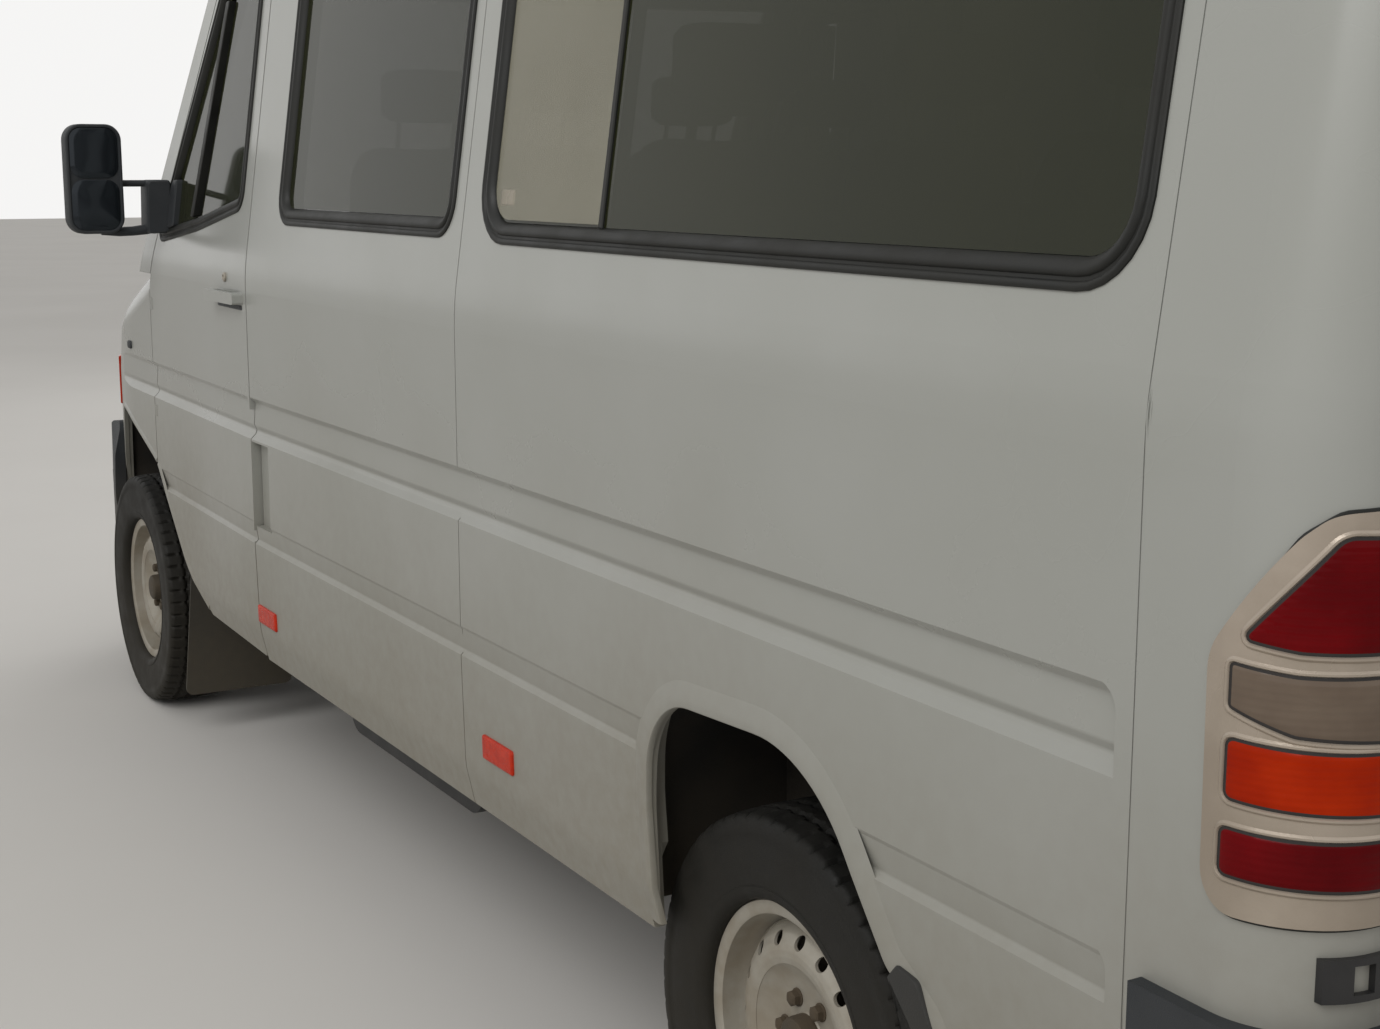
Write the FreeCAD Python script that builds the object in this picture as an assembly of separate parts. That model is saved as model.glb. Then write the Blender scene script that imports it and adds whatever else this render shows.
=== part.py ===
"""A high-roof minibus of medium wheelbase: hollow body split where its panels meet, swinging front doors,
rear doors and bonnet, steered front wheels and a live rear axle.
X runs forward, Y to the vehicle's left, Z up. The origin is on the ground under the middle of the length.
All sizes are in millimetres."""
import FreeCAD
import Part
import math
import os

os.makedirs("parts", exist_ok=True)

# Overall sizes
HALF_WIDTH = 966.0
WHEELBASE = 3550.0
REAR_AXLE_X = -1720.0
FRONT_AXLE_X = REAR_AXLE_X + WHEELBASE
SILL_Z = 430.0
RAIL_Z = 2075.0            # where the side panels end and the roof begins
ROOF_RISE = 510.0          # height of the raised roof above the side panels
ROOF_Z = RAIL_Z + ROOF_RISE
WAIST_Z = 1335.0           # above it the sides lean inwards
LEAN = 0.1405              # inward run of the side per unit of height above the waist
TOE_DEG = 1.5              # the cab's sides close in towards the nose
WALL = 48.0                # whole thickness of a side wall or door
ROOF_WALL = 40.0
ARCH_LIP = 16.0            # thickness left at the rear wheel arch
PANEL = 22.0               # bonnet, wings and front panel with their inner skins
GAP = 6.0                  # shut line between panels
SEAT_GAP = 0.4             # between pieces that only touch

# Stations along the body
PILLAR_X = 470.0           # rear edge of the front door opening
SPLIT_X = -753.0           # joint between the two side panel fields
POST_X = -2495.0           # joint between side panel and rear corner post
REAR_FACE_X = -2720.0
CORNER_R = 105.0           # rear corner in plan

# Front end
SCREEN_BASE = (1680.0, 1290.0)
SCREEN_RAKE = 0.7236       # rearward run of the windscreen per unit of height
SCREEN_TOP = (SCREEN_BASE[0] - SCREEN_RAKE * (RAIL_Z - SCREEN_BASE[1]), RAIL_Z)
NOSE_X = 2690.0
NOSE_CORNER_R = 95.0
NOSE_BEND_X = 1795.0       # from here the wings close in towards the front corners
NOSE_BEND_R = 1200.0
NOSE_TAPER_DEG = 12.5
PLAN_CENTRE_X = -1400.0    # the nose and windscreen are curved in plan about this station
PLAN_SWEEP = 42.0          # half angle of that sweep, wide enough to reach both sides

# Bonnet in plan, its front edge, hinge line, and the openings of the front panel
BONNET_PLAN = [(1400.0, -712.0), (2790.0, -640.0), (2790.0, 640.0), (1400.0, 712.0)]
BONNET_EDGE_Z = 905.0
BONNET_PIN = (SCREEN_BASE[0] + 10, SCREEN_BASE[1] - 58)
BONNET_HINGE_Y = 560.0
FRONT_SPLIT_X = NOSE_X - 150
GRILLE = (-452.0, 452.0, 655.0, 862.0, 40.0)

# Side windows: front x, rear x, lower z, upper z, corner radius
WINDOW_TOP_Z = RAIL_Z - 45
SIDE_WINDOWS = (
    (250.0, -700.0, 1462.0, WINDOW_TOP_Z, 55.0),
    (-840.0, -2450.0, 1459.0, WINDOW_TOP_Z, 85.0),
)
REAR_WINDOW = (95.0, HALF_WIDTH - 281, 1462.0, WINDOW_TOP_Z - 30, 60.0)     # y in, y out, lower z, upper z, radius
GLASS = 5.0
GLASS_DEPTH = 9.0
SEAL_LIP = 14.0            # seal outside the opening
SEAL_IN = 22.0             # seal inside the opening
SEAL_PROUD = 5.0

# Doors
DOOR_TOP_Z = RAIL_Z - 40
DOOR_FRONT_X = 1420.0
DOOR_SWING_X = DOOR_FRONT_X - 12.0     # vertical hinge line of the front doors
DOOR_SWING_Y = HALF_WIDTH - (DOOR_SWING_X - PILLAR_X) * math.tan(math.radians(TOE_DEG)) - 5.0
DOOR_HINGES = (920.0, 1210.0)
DOOR_EYE = 30.0
REAR_DOOR_Y = HALF_WIDTH - 191
REAR_DOOR_BOTTOM = 615.0
REAR_DOOR_TOP = ROOF_Z - 170
REAR_PIN = (REAR_FACE_X - 27, REAR_DOOR_Y + 26)
REAR_HINGES = (815.0, REAR_DOOR_TOP - 265)
HINGE_TALL = 44.0
PIN_R = 11.0

# Running gear
TYRE_R = 340.0
TYRE_W = 215.0
BEAD_R = 190.5
RIM_HALF = 82.0
WHEEL_Y = HALF_WIDTH - 166
KING_Y = WHEEL_Y - 125
AXLE_Z = TYRE_R
HUB_FACE_Y = WHEEL_Y + 27
HOUSE_INNER_Y = WHEEL_Y - 155
DISC_HOLES = 16
FLOOR_Z = 600.0
FLOOR_T = 28.0
SIDE_NEAR, SIDE_FAR = HALF_WIDTH - 266, HALF_WIDTH + 134     # span of cutters that work on one side only


def vec(x, y, z):
    return FreeCAD.Vector(x, y, z)


PLANES = {
    "x": lambda a, b, at: vec(at, a, b),
    "y": lambda a, b, at: vec(a, at, b),
    "z": lambda a, b, at: vec(a, b, at),
}
DIRECTIONS = {"x": vec(1, 0, 0), "y": vec(0, 1, 0), "z": vec(0, 0, 1)}


def rounded_wire(corners, place):
    """Closed wire through corners (a, b, radius), each rounded by an arc where its radius isn't 0."""
    edges = []
    ends = []
    count = len(corners)
    for i, corner in enumerate(corners):
        a, b = corner[0], corner[1]
        radius = corner[2] if len(corner) > 2 else 0.0
        before, after = corners[i - 1], corners[(i + 1) % count]
        if not radius:
            ends.append((place(a, b), None, place(a, b)))
            continue
        to_before = (before[0] - a, before[1] - b)
        to_after = (after[0] - a, after[1] - b)
        n1, n2 = math.hypot(*to_before), math.hypot(*to_after)
        u1 = (to_before[0] / n1, to_before[1] / n1)
        u2 = (to_after[0] / n2, to_after[1] / n2)
        half = math.acos(max(-1.0, min(1.0, u1[0] * u2[0] + u1[1] * u2[1]))) / 2
        run = radius / math.tan(half)
        bis = (u1[0] + u2[0], u1[1] + u2[1])
        nb = math.hypot(*bis)
        reach = radius / math.sin(half) - radius
        mid = (a + bis[0] / nb * reach, b + bis[1] / nb * reach)
        ends.append((place(a + u1[0] * run, b + u1[1] * run), place(*mid),
                     place(a + u2[0] * run, b + u2[1] * run)))
    for i, (start, mid, end) in enumerate(ends):
        if mid is not None:
            edges.append(Part.Arc(start, mid, end).toShape())
        following = ends[(i + 1) % count][0]
        if (following - end).Length > 1e-6:
            edges.append(Part.makeLine(end, following))
    return Part.Wire(edges)


def slab(corners, axis, start, end):
    """Outline in the plane across the axis, extruded from start to end along it."""
    place = PLANES[axis]
    face = Part.Face(rounded_wire(corners, lambda a, b: place(a, b, start)))
    return face.extrude(DIRECTIONS[axis] * (end - start))


def box(x, y, z):
    """Box from three (low, high) pairs."""
    return Part.makeBox(x[1] - x[0], y[1] - y[0], z[1] - z[0], vec(x[0], y[0], z[0]))


def rod(start, end, radius):
    """Solid cylinder between two points."""
    a, b = vec(*start), vec(*end)
    return Part.makeCylinder(radius, (b - a).Length, a, b - a)


def other_side(shape):
    return shape.mirror(vec(0, 0, 0), vec(0, 1, 0))


def fused(shapes):
    """One solid from touching or overlapping shapes."""
    result = shapes[0].multiFuse(shapes[1:]) if len(shapes) > 1 else shapes[0]
    return result.removeSplitter()


def write(name, *shapes):
    """Writes one node. Solids that don't touch stay separate solids of the same file."""
    solids = [s for shape in shapes for s in shape.Solids]
    for s in solids:
        assert s.isValid() and s.Volume > 0, name
    Part.makeCompound(solids).exportStep(f"parts/{name}.step")
    print(name, len(solids), "solid(s)", round(sum(s.Volume for s in solids) / 1e6, 2), "litres")


def frame_outline(low_x, high_x, low_z, high_z, radius, grow=0.0):
    """Rounded rectangle, grown outwards by grow."""
    r = max(radius + grow, 4.0)
    return [(low_x - grow, low_z - grow, r), (high_x + grow, low_z - grow, r),
            (high_x + grow, high_z + grow, r), (low_x - grow, high_z + grow, r)]


# The body's section: half width at the foot, the flank and the lean of the upper side
def side_contour(inset, top_z=RAIL_Z, foot_z=SILL_Z):
    """Outer side from the sill up, moved inwards by inset. Corners are (y, z, radius)."""
    top_y = HALF_WIDTH - LEAN * (top_z - WAIST_Z)
    return [(HALF_WIDTH - 22 - inset, foot_z), (HALF_WIDTH - 5 - inset, 505.0, 160.0),
            (HALF_WIDTH - inset, 700.0, 1500.0), (HALF_WIDTH - inset, WAIST_Z, 600.0),
            (top_y - inset, top_z)]


def full_contour(inset):
    """Side and raised roof in one line, from the sill to the middle of the roof."""
    rail_y = HALF_WIDTH - LEAN * (RAIL_Z - WAIST_Z)
    return side_contour(inset)[:-1] + [
        (rail_y - inset, RAIL_Z, 700.0), (rail_y - 26 - inset, RAIL_Z + ROOF_RISE / 2, 900.0),
        (rail_y - 66 - inset, ROOF_Z - 42 - inset, 135.0 - inset), (380.0, ROOF_Z - inset, 2500.0)]


def along_toe(x):
    """Offset in y of the toed-in cab side at station x."""
    return -(x - PILLAR_X) * math.tan(math.radians(TOE_DEG))


def toe_extrude(corners, front_x):
    """Extrudes a (y, z) outline from the pillar forward, along the toed-in side."""
    face = Part.Face(rounded_wire(corners, lambda a, b: vec(PILLAR_X, a, b)))
    return face.extrude(vec(front_x - PILLAR_X, along_toe(front_x), 0))


def side_skin(outer, inner, rear_x, front_x, toed=False):
    """Left side wall between two depths below the outer surface."""
    out, back = side_contour(outer), side_contour(inner)
    corners = out + [(c[0], c[1]) + tuple(c[2:]) for c in reversed(back)]
    if toed:
        return toe_extrude(corners, front_x)
    return slab(corners, "x", rear_x, front_x)


def tunnel(contour, floor_z, rear_x, front_x, toed=False):
    """Everything between the left contour and its mirror image, above floor_z."""
    far = -3000.0
    corners = contour + [(far, contour[-1][1]), (far, floor_z), (contour[0][0], floor_z)]
    if abs(contour[0][1] - floor_z) < 1e-6:
        corners = contour + [(far, contour[-1][1]), (far, floor_z)]
    left = toe_extrude(corners, front_x) if toed else slab(corners, "x", rear_x, front_x)
    return left.common(other_side(left))


def plan_swept(corners):
    """Side profile (x, z) swept about the vertical axis that gives nose and windscreen their plan curve."""
    face = Part.Face(rounded_wire(corners, lambda a, b: vec(a, 0, b)))
    foot, up = vec(PLAN_CENTRE_X, 0, 0), vec(0, 0, 1)
    face.rotate(foot, up, -PLAN_SWEEP)
    return face.revolve(foot, up, 2 * PLAN_SWEEP)


def screen_x(z, back=0.0):
    """Windscreen line at height z, moved back along x."""
    (x0, z0), (x1, z1) = SCREEN_BASE, SCREEN_TOP
    return x0 + (x1 - x0) * (z - z0) / (z1 - z0) - back


# Pressed lines along the side: a channel above the ridge, and a crease below it
def pressing(corners, rear_x, front_x, ends, toed=False):
    """Long cutter with a (y, z) section whose rear end is rounded in side view."""
    solid = toe_extrude(corners, front_x) if toed else slab(corners, "x", rear_x, front_x)
    return solid.common(slab(ends, "y", HALF_WIDTH - 66, HALF_WIDTH + 34))


# Sections as depth below the side, height and radius
CHANNEL = [(14.0, 955.0), (0.0, 955.0), (-12.0, 967.0, 8.0), (-15.0, 976.0, 7.0), (-9.0, 988.0, 8.0),
           (-13.0, 1038.0, 8.0), (0.0, 1052.0), (14.0, 1052.0)]
CREASE = [(14.0, 710.0), (0.0, 710.0), (-8.5, 719.0, 5.0), (-3.0, 758.0), (0.0, 764.0), (14.0, 764.0)]
PRESSING_END_X = -2466.0


def pressings(rear_x, front_x, toed=False):
    """Channel and crease between two stations."""
    cutters = []
    for section, low, high in ((CHANNEL, 940.0, 1053.0), (CREASE, 700.0, 770.0)):
        ends = [(rear_x, low, 14.0), (front_x, low), (front_x, high), (rear_x, high, 30.0)]
        placed = [(HALF_WIDTH + c[0],) + c[1:] for c in section]
        cutters.append(pressing(placed, rear_x - 10, front_x, ends, toed))
    return cutters


def largest(shape):
    """The biggest solid of a cut shape."""
    return max(shape.Solids, key=lambda solid: solid.Volume)


def cut_all(shape, cutters):
    for c in cutters:
        shape = shape.cut(c)
    return shape


# Wheel arches in side view, as x from the axle, z and radius
def arch(axle_x, corners):
    """Arch outline placed at its axle."""
    return [(axle_x + c[0],) + c[1:] for c in corners]


REAR_ARCH = arch(REAR_AXLE_X, [(242.0, 380.0), (265.0, 640.0, 300.0), (252.0, 808.0, 130.0), (-180.0, 832.0, 260.0),
                               (-355.0, 608.0, 60.0), (-445.0, 556.0, 40.0), (-465.0, 380.0)])
FRONT_ARCH = arch(FRONT_AXLE_X, [(-962.0, 380.0), (-670.0, 543.0, 300.0), (-410.0, 776.0, 160.0),
                                 (-40.0, 881.0, 500.0), (250.0, 872.0, 230.0), (405.0, 640.0, 150.0),
                                 (405.0, 380.0)])
REAR_HOUSE = arch(REAR_AXLE_X, [(375.0, 300.0), (375.0, 660.0, 150.0), (280.0, 862.0, 160.0), (-280.0, 862.0, 160.0),
                                (-460.0, 660.0, 150.0), (-460.0, 300.0)])
FRONT_HOUSE = arch(FRONT_AXLE_X, [(-645.0, 300.0), (-590.0, 600.0, 150.0), (-430.0, 896.0, 320.0),
                                  (265.0, 896.0, 240.0), (431.0, 640.0, 150.0), (431.0, 300.0)])

DOOR_RAKE = 0.665          # rearward run of the door's front edge per unit of height
FRONT_DOOR = [(PILLAR_X, 436.0, 12.0), (DOOR_FRONT_X, 436.0), (DOOR_FRONT_X, 1262.0, 30.0),
              (DOOR_FRONT_X - (DOOR_TOP_Z - 1262.0) * DOOR_RAKE, DOOR_TOP_Z, 60.0), (PILLAR_X, DOOR_TOP_Z, 35.0)]
FRONT_DOOR_WINDOW = [(545.0, 1488.0, 40.0), (930.0, 1430.0, 400.0), (1318.0, 1388.0, 22.0),
                     (1318.0 - (DOOR_TOP_Z - 1431.0) * 0.7152, DOOR_TOP_Z - 43, 30.0), (545.0, DOOR_TOP_Z - 43, 30.0)]


def shrink(outline, amount):
    """Outline moved inwards by amount, by offsetting its wire."""
    wire = rounded_wire(outline, lambda a, b: vec(a, 0, b))
    return wire.makeOffset2D(-amount)


def offset_slab(outline, amount, y0, y1):
    """Side-view outline offset by amount (positive inwards) and extruded across y."""
    wire = shrink(outline, amount) if amount else rounded_wire(outline, lambda a, b: vec(a, 0, b))
    face = Part.Face(wire)
    face.translate(vec(0, y0, 0))
    return face.extrude(vec(0, y1 - y0, 0))


def window_set(outlines, toed=False, rear_x=POST_X, front_x=PILLAR_X):
    """Seal frames and panes of the windows on the left side."""
    seals, panes = [], []
    lip = side_skin(-SEAL_PROUD, 0.0, rear_x, front_x, toed)
    rim = side_skin(0.0, SEAL_IN, rear_x, front_x, toed)
    pane = side_skin(GLASS_DEPTH, GLASS_DEPTH + GLASS, rear_x, front_x, toed)
    for outline in outlines:
        hole = offset_slab(outline, SEAL_IN, SIDE_NEAR, SIDE_FAR)
        outer = offset_slab(outline, -SEAL_LIP, SIDE_NEAR, SIDE_FAR)
        inner = offset_slab(outline, SEAT_GAP, SIDE_NEAR, SIDE_FAR)
        seals.append(fused([lip.common(outer).cut(hole), rim.common(inner).cut(hole)]))
        panes.append(pane.common(offset_slab(outline, SEAL_IN + SEAT_GAP, SIDE_NEAR, SIDE_FAR)))
    return seals, panes


def window_outline(window):
    front_x, rear_x, low_z, high_z, radius = window
    return frame_outline(rear_x, front_x, low_z, high_z, radius)


def side_wall(rear_x, front_x):
    """Left load-space wall, before windows and arches."""
    wall = side_skin(0.0, WALL, rear_x, front_x)
    return cut_all(wall, pressings(max(rear_x, PRESSING_END_X), front_x))


def make_sides():
    """Left panel with both windows; right side split into sliding door and rear panel."""
    outlines = [window_outline(w) for w in SIDE_WINDOWS]
    openings = [offset_slab(o, 0, SIDE_NEAR, SIDE_FAR) for o in outlines]
    wheel_hole = slab(REAR_ARCH, "y", SIDE_NEAR, SIDE_FAR)
    tyre_room = rod((REAR_AXLE_X, SIDE_NEAR, AXLE_Z), (REAR_AXLE_X, HALF_WIDTH - 40, AXLE_Z), TYRE_R + 25)
    thin = offset_slab(REAR_ARCH, -34.0, SIDE_NEAR, HALF_WIDTH - ARCH_LIP)
    whole = cut_all(side_wall(POST_X, PILLAR_X - GAP), [tyre_room, thin])
    left = cut_all(whole, openings + [wheel_hole])
    seam = box((SPLIT_X - 1.5, SPLIT_X + 1.5), (HALF_WIDTH - 5, HALF_WIDTH + 40), (SILL_Z - 10, RAIL_Z + 10))
    upper_seam = side_skin(-10.0, 5.0, SPLIT_X - 1.5, SPLIT_X + 1.5)
    post_seam = side_skin(-10.0, 4.0, POST_X - 1, POST_X + 3)
    notch = box((345.0, PILLAR_X + 5), (HALF_WIDTH - 22, HALF_WIDTH + 20), (752.0, 950.0))
    left = cut_all(left, [seam, upper_seam, notch, post_seam])
    write("side_panel_left", left)
    slide = [(SPLIT_X + GAP, SILL_Z + GAP, 20.0), (PILLAR_X - 60, SILL_Z + GAP, 20.0),
             (PILLAR_X - 60, RAIL_Z - 30, 40.0), (SPLIT_X + GAP, RAIL_Z - 30, 40.0)]
    opening = offset_slab(slide, -GAP, SIDE_NEAR, SIDE_FAR)
    right = other_side(cut_all(whole, openings + [wheel_hole, opening]))
    write("side_panel_right", right)
    door = whole.common(slab(slide, "y", SIDE_NEAR, SIDE_FAR)).cut(openings[0])
    catches = [box((SPLIT_X + SEAT_GAP, SPLIT_X + 20), (HALF_WIDTH - 34, HALF_WIDTH - 16), (z, z + 60.0))
               for z in (880.0, 1250.0)]
    handle = slab([(-735.0, 1010.0 + 60, 8.0), (-600.0, 1070.0, 8.0), (-600.0, 1110.0, 8.0), (-735.0, 1110.0, 8.0)],
                  "y", HALF_WIDTH - 4, HALF_WIDTH + 26)
    handle = handle.cut(box((-700.0, -612.0), (HALF_WIDTH, HALF_WIDTH + 14), (1060.0, 1120.0)))
    write("sliding_door", other_side(fused([door, handle] + catches)))
    seals, panes = window_set(outlines)
    write("side_window_seals", *seals, *[other_side(s) for s in seals])
    write("side_glass", *panes, *[other_side(s) for s in panes])


def make_roof():
    """Raised roof, hollow, with its brow above the windscreen."""
    top_x = SCREEN_TOP[0]
    brow = [(PLAN_CENTRE_X, RAIL_Z), (top_x, RAIL_Z), (top_x - 330, ROOF_Z - 90, 420.0),
            (top_x - 760, ROOF_Z + 4, 900.0), (PLAN_CENTRE_X, ROOF_Z + 4)]
    under = [(PLAN_CENTRE_X, RAIL_Z), (top_x - 52, RAIL_Z), (top_x - 366, ROOF_Z - 130, 400.0),
             (top_x - 780, ROOF_Z - ROOF_WALL, 900.0), (PLAN_CENTRE_X, ROOF_Z - ROOF_WALL)]
    above = box((-2900.0, 2900.0), (-SIDE_FAR, SIDE_FAR), (RAIL_Z, ROOF_Z + 50))
    rear = tunnel(full_contour(0.0), SILL_Z, POST_X, PILLAR_X).cut(
        tunnel(full_contour(ROOF_WALL), SILL_Z - 5, POST_X - 5, PILLAR_X + 5)).common(above)
    front = tunnel(full_contour(0.0), SILL_Z, 0, 1300.0, True).common(plan_swept(brow))
    hollow = tunnel(full_contour(ROOF_WALL), SILL_Z, 0, 1300.0, True).common(plan_swept(under))
    write("roof", fused([rear, front.cut(hollow)]))


def make_screen():
    """A-pillars, header, rails over the doors, the bulkhead below and the glass between them."""
    low = SCREEN_BASE[1]
    outer = [(PLAN_CENTRE_X, low), SCREEN_BASE, SCREEN_TOP, (PLAN_CENTRE_X, RAIL_Z)]
    inner = [(PLAN_CENTRE_X, low - 5), (screen_x(low, 62), low - 5), (screen_x(low, 62), low),
             (screen_x(RAIL_Z, 62), RAIL_Z), (PLAN_CENTRE_X, RAIL_Z)]
    cab = tunnel(side_contour(0.0), SILL_Z, 0, 1900.0, True).common(plan_swept(outer))
    hollow = tunnel(side_contour(WALL), SILL_Z, 0, 1900.0, True).common(plan_swept(inner))
    door = offset_slab(FRONT_DOOR, -GAP, -SIDE_FAR, SIDE_FAR)
    lower, upper = low + 50, RAIL_Z - 62
    hole = [(screen_x(lower, -200), lower), (screen_x(upper, -200), upper), (screen_x(upper, 200), upper),
            (screen_x(lower, 200), lower)]
    side = tunnel(side_contour(92.0), SILL_Z, 0, 1900.0, True)
    opening = plan_swept(hole).common(side)
    behind = box((-2000.0, PILLAR_X - GAP), (-SIDE_FAR, SIDE_FAR), (1000.0, 2200.0))
    frame = cut_all(cab, [hollow, door, opening, behind])
    write("windscreen_frame", *frame.Solids)
    fit = 0.6
    pane = [(screen_x(lower + fit, 8), lower + fit), (screen_x(upper - fit, 8), upper - fit),
            (screen_x(upper - fit, 18), upper - fit), (screen_x(lower + fit, 18), lower + fit)]
    write("windscreen_glass", plan_swept(pane).common(tunnel(side_contour(92.0 + fit), SILL_Z, 0, 1900.0, True)))
    wall_x = SCREEN_BASE[0] - 95
    bulkhead = plan_swept([(wall_x, FLOOR_Z + FLOOR_T), (wall_x + 25, FLOOR_Z + FLOOR_T), (wall_x + 25, low - 62),
                           (wall_x + 55, low - 46), (wall_x + 55, low - SEAT_GAP), (wall_x, low - SEAT_GAP)])
    inside = tunnel(side_contour(WALL + 30.0), SILL_Z, 0, 1900.0, True)
    house = box((1000.0, 2000.0), (480.0, SIDE_FAR), (500.0, 900.0))
    shoulder = box((1000.0, 2000.0), (SIDE_NEAR, SIDE_FAR), (1222.0, 1300.0))
    bulkhead = largest(cut_all(bulkhead.common(inside), [house, other_side(house), shoulder, other_side(shoulder)]))
    eyes = [bonnet_eye(s * y, False) for s in (1, -1) for y in (BONNET_HINGE_Y - 23, BONNET_HINGE_Y + 23)]
    write("bulkhead", fused([bulkhead] + eyes))


def nose_plan(inset):
    """Nose seen from above: along the cab's toe, then closing in towards the front corners."""
    rear_x, front_x = PILLAR_X - 40, NOSE_X + 210
    bend_y = HALF_WIDTH + along_toe(NOSE_BEND_X) - inset
    left = [(rear_x, HALF_WIDTH + along_toe(rear_x) - inset), (NOSE_BEND_X, bend_y, NOSE_BEND_R),
            (front_x, bend_y - (front_x - NOSE_BEND_X) * math.tan(math.radians(NOSE_TAPER_DEG)))]
    right = [(c[0], -c[1]) + c[2:] for c in reversed(left)]
    return slab(left + right, "z", SILL_Z - 10, SCREEN_BASE[1] + 10)


def nose_body(inset):
    """Bonnet, wings and front panel as one closed nose, moved inwards by inset."""
    base_x, base_z = SCREEN_BASE
    profile = [(PLAN_CENTRE_X, SILL_Z), (NOSE_X - inset, SILL_Z), (NOSE_X - 8 - inset, 840.0 - inset, 150.0),
               (NOSE_X - 110 - inset, 985.0 - inset, 260.0), (base_x, base_z - inset),
               (PLAN_CENTRE_X, base_z - inset)]
    foot = [(HALF_WIDTH - 22 - inset, SILL_Z), (HALF_WIDTH - 5 - inset, 505.0, 160.0),
            (HALF_WIDTH + 2 - inset, 778.0), (HALF_WIDTH + 2 - inset, base_z + 20)]
    solid = tunnel(foot, SILL_Z, 0, NOSE_X + 200, True).common(nose_plan(inset)).common(plan_swept(profile))
    edges = []
    for e in solid.Edges:
        mid = e.valueAt((e.FirstParameter + e.LastParameter) / 2)
        span = e.BoundBox
        at_front = span.XMax > NOSE_X - 400 and abs(mid.y) > 600.0 and mid.z > SILL_Z + 5
        at_top = span.XMin > PILLAR_X + 5 and span.XLength > 2 and 900.0 < mid.z < base_z - inset - 1 and abs(mid.y) > 600
        if at_front or at_top:
            edges.append(e)
    return solid.makeFillet(max(NOSE_CORNER_R - inset, 10.0), edges)


def bonnet_eye(y, moving):
    """Eye of a bonnet hinge at station y, with the arm that carries it."""
    x, z = BONNET_PIN
    half = 14.0 if moving else 8.6
    eye = rod((x, y - half, z), (x, y + half, z), 9.0)
    if moving:
        return fused([eye, box((x - 9, x + 9), (y - half, y + half), (z, z + 28))])
    post = box((x - 9, x + 5), (y - half, y + half), (z - 60, z))
    return fused([eye, post, box((x - 150, x + 5), (y - half, y + half), (z - 60, z - 42))])


def make_nose():
    """Wings, bonnet and front panel cut from one hollow nose, with lamp and grille openings."""
    shell = nose_body(0.0).cut(nose_body(PANEL))
    wheel_hole = slab(FRONT_ARCH, "y", -SIDE_FAR, SIDE_FAR)
    bonnet_zone = slab(BONNET_PLAN, "z", BONNET_EDGE_Z, 1500.0)
    wide = [(x, y + (GAP if y > 0 else -GAP)) for x, y in BONNET_PLAN]
    bonnet_hole = slab(wide, "z", BONNET_EDGE_Z - GAP, 1500.0)
    base_x, base_z = SCREEN_BASE
    rest = plan_swept([(PLAN_CENTRE_X, 700.0), (base_x + 10, 700.0), (base_x + 10, 1500.0), (PLAN_CENTRE_X, 1500.0)])
    bonnet = shell.common(bonnet_zone).cut(rest)
    write("bonnet", fused([largest(bonnet)] + [bonnet_eye(s * BONNET_HINGE_Y, True) for s in (1, -1)]))
    lamp = lamp_outline(SEAT_GAP)
    wing_zone = box((DOOR_FRONT_X + GAP, FRONT_SPLIT_X), (540.0, SIDE_FAR), (SILL_Z - 5, base_z - SEAT_GAP))
    low = box((2190.0, 2900.0), (0.0, SIDE_FAR), (200.0, 600.0 + GAP))
    wing = cut_all(shell.common(wing_zone), [bonnet_hole, wheel_hole, lamp, low])
    wing = largest(cut_all(wing, pressings(PILLAR_X, 1930.0, True)))
    wing = fused([wing] + [door_eye(z) for z in DOOR_HINGES])
    write("front_wings", wing, other_side(wing))
    front = shell.common(box((FRONT_SPLIT_X + SEAT_GAP, 2900.0), (-SIDE_FAR, SIDE_FAR), (600.0 + GAP, 1100.0)))
    grille_hole = slab(frame_outline(*GRILLE), "x", 2300.0, 2900.0)
    front = cut_all(front, [bonnet_hole, lamp, other_side(lamp), grille_hole])
    write("front_panel", largest(front))


def lamp_outline(grow):
    """Front lamp opening: seen from the front, and running round the corner on to the side."""
    outline = [(488.0 - grow, 655.0 - grow, 30.0), (1000.0, 655.0 - grow), (1000.0, 890.0 + grow),
               (488.0 - grow, 862.0 + grow, 30.0)]
    return slab(outline, "x", NOSE_X - 290 - grow, NOSE_X + 210)


def make_lamps():
    """Front lamp units with their wrap-round indicators."""
    body = nose_body(2.0).cut(nose_body(60.0))
    lamp = body.common(lamp_outline(-SEAT_GAP))
    write("headlamps", lamp, other_side(lamp))


def make_grille():
    """Grille surround with bars."""
    shell = nose_body(4.0).cut(nose_body(40.0))
    y0, y1, z0, z1, r = GRILLE
    body = shell.common(slab(frame_outline(y0, y1, z0, z1, r, -SEAT_GAP), "x", 2300.0, 2900.0))
    inner = slab(frame_outline(y0, y1, z0, z1, r, -28.0), "x", 2300.0, 2900.0)
    bars = []
    for i in range(5):
        z = z0 + 42.0 + i * 29.0
        bars.append(body.common(box((2300.0, 2900.0), (y0 + 20, y1 - 20), (z, z + 12.0))))
    for y in (-220.0, 0.0, 220.0):
        bars.append(body.common(box((2300.0, 2900.0), (y - 6, y + 6), (z0 + 20, z1 - 20))))
    write("grille", fused([body.cut(inner)] + bars))


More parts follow.
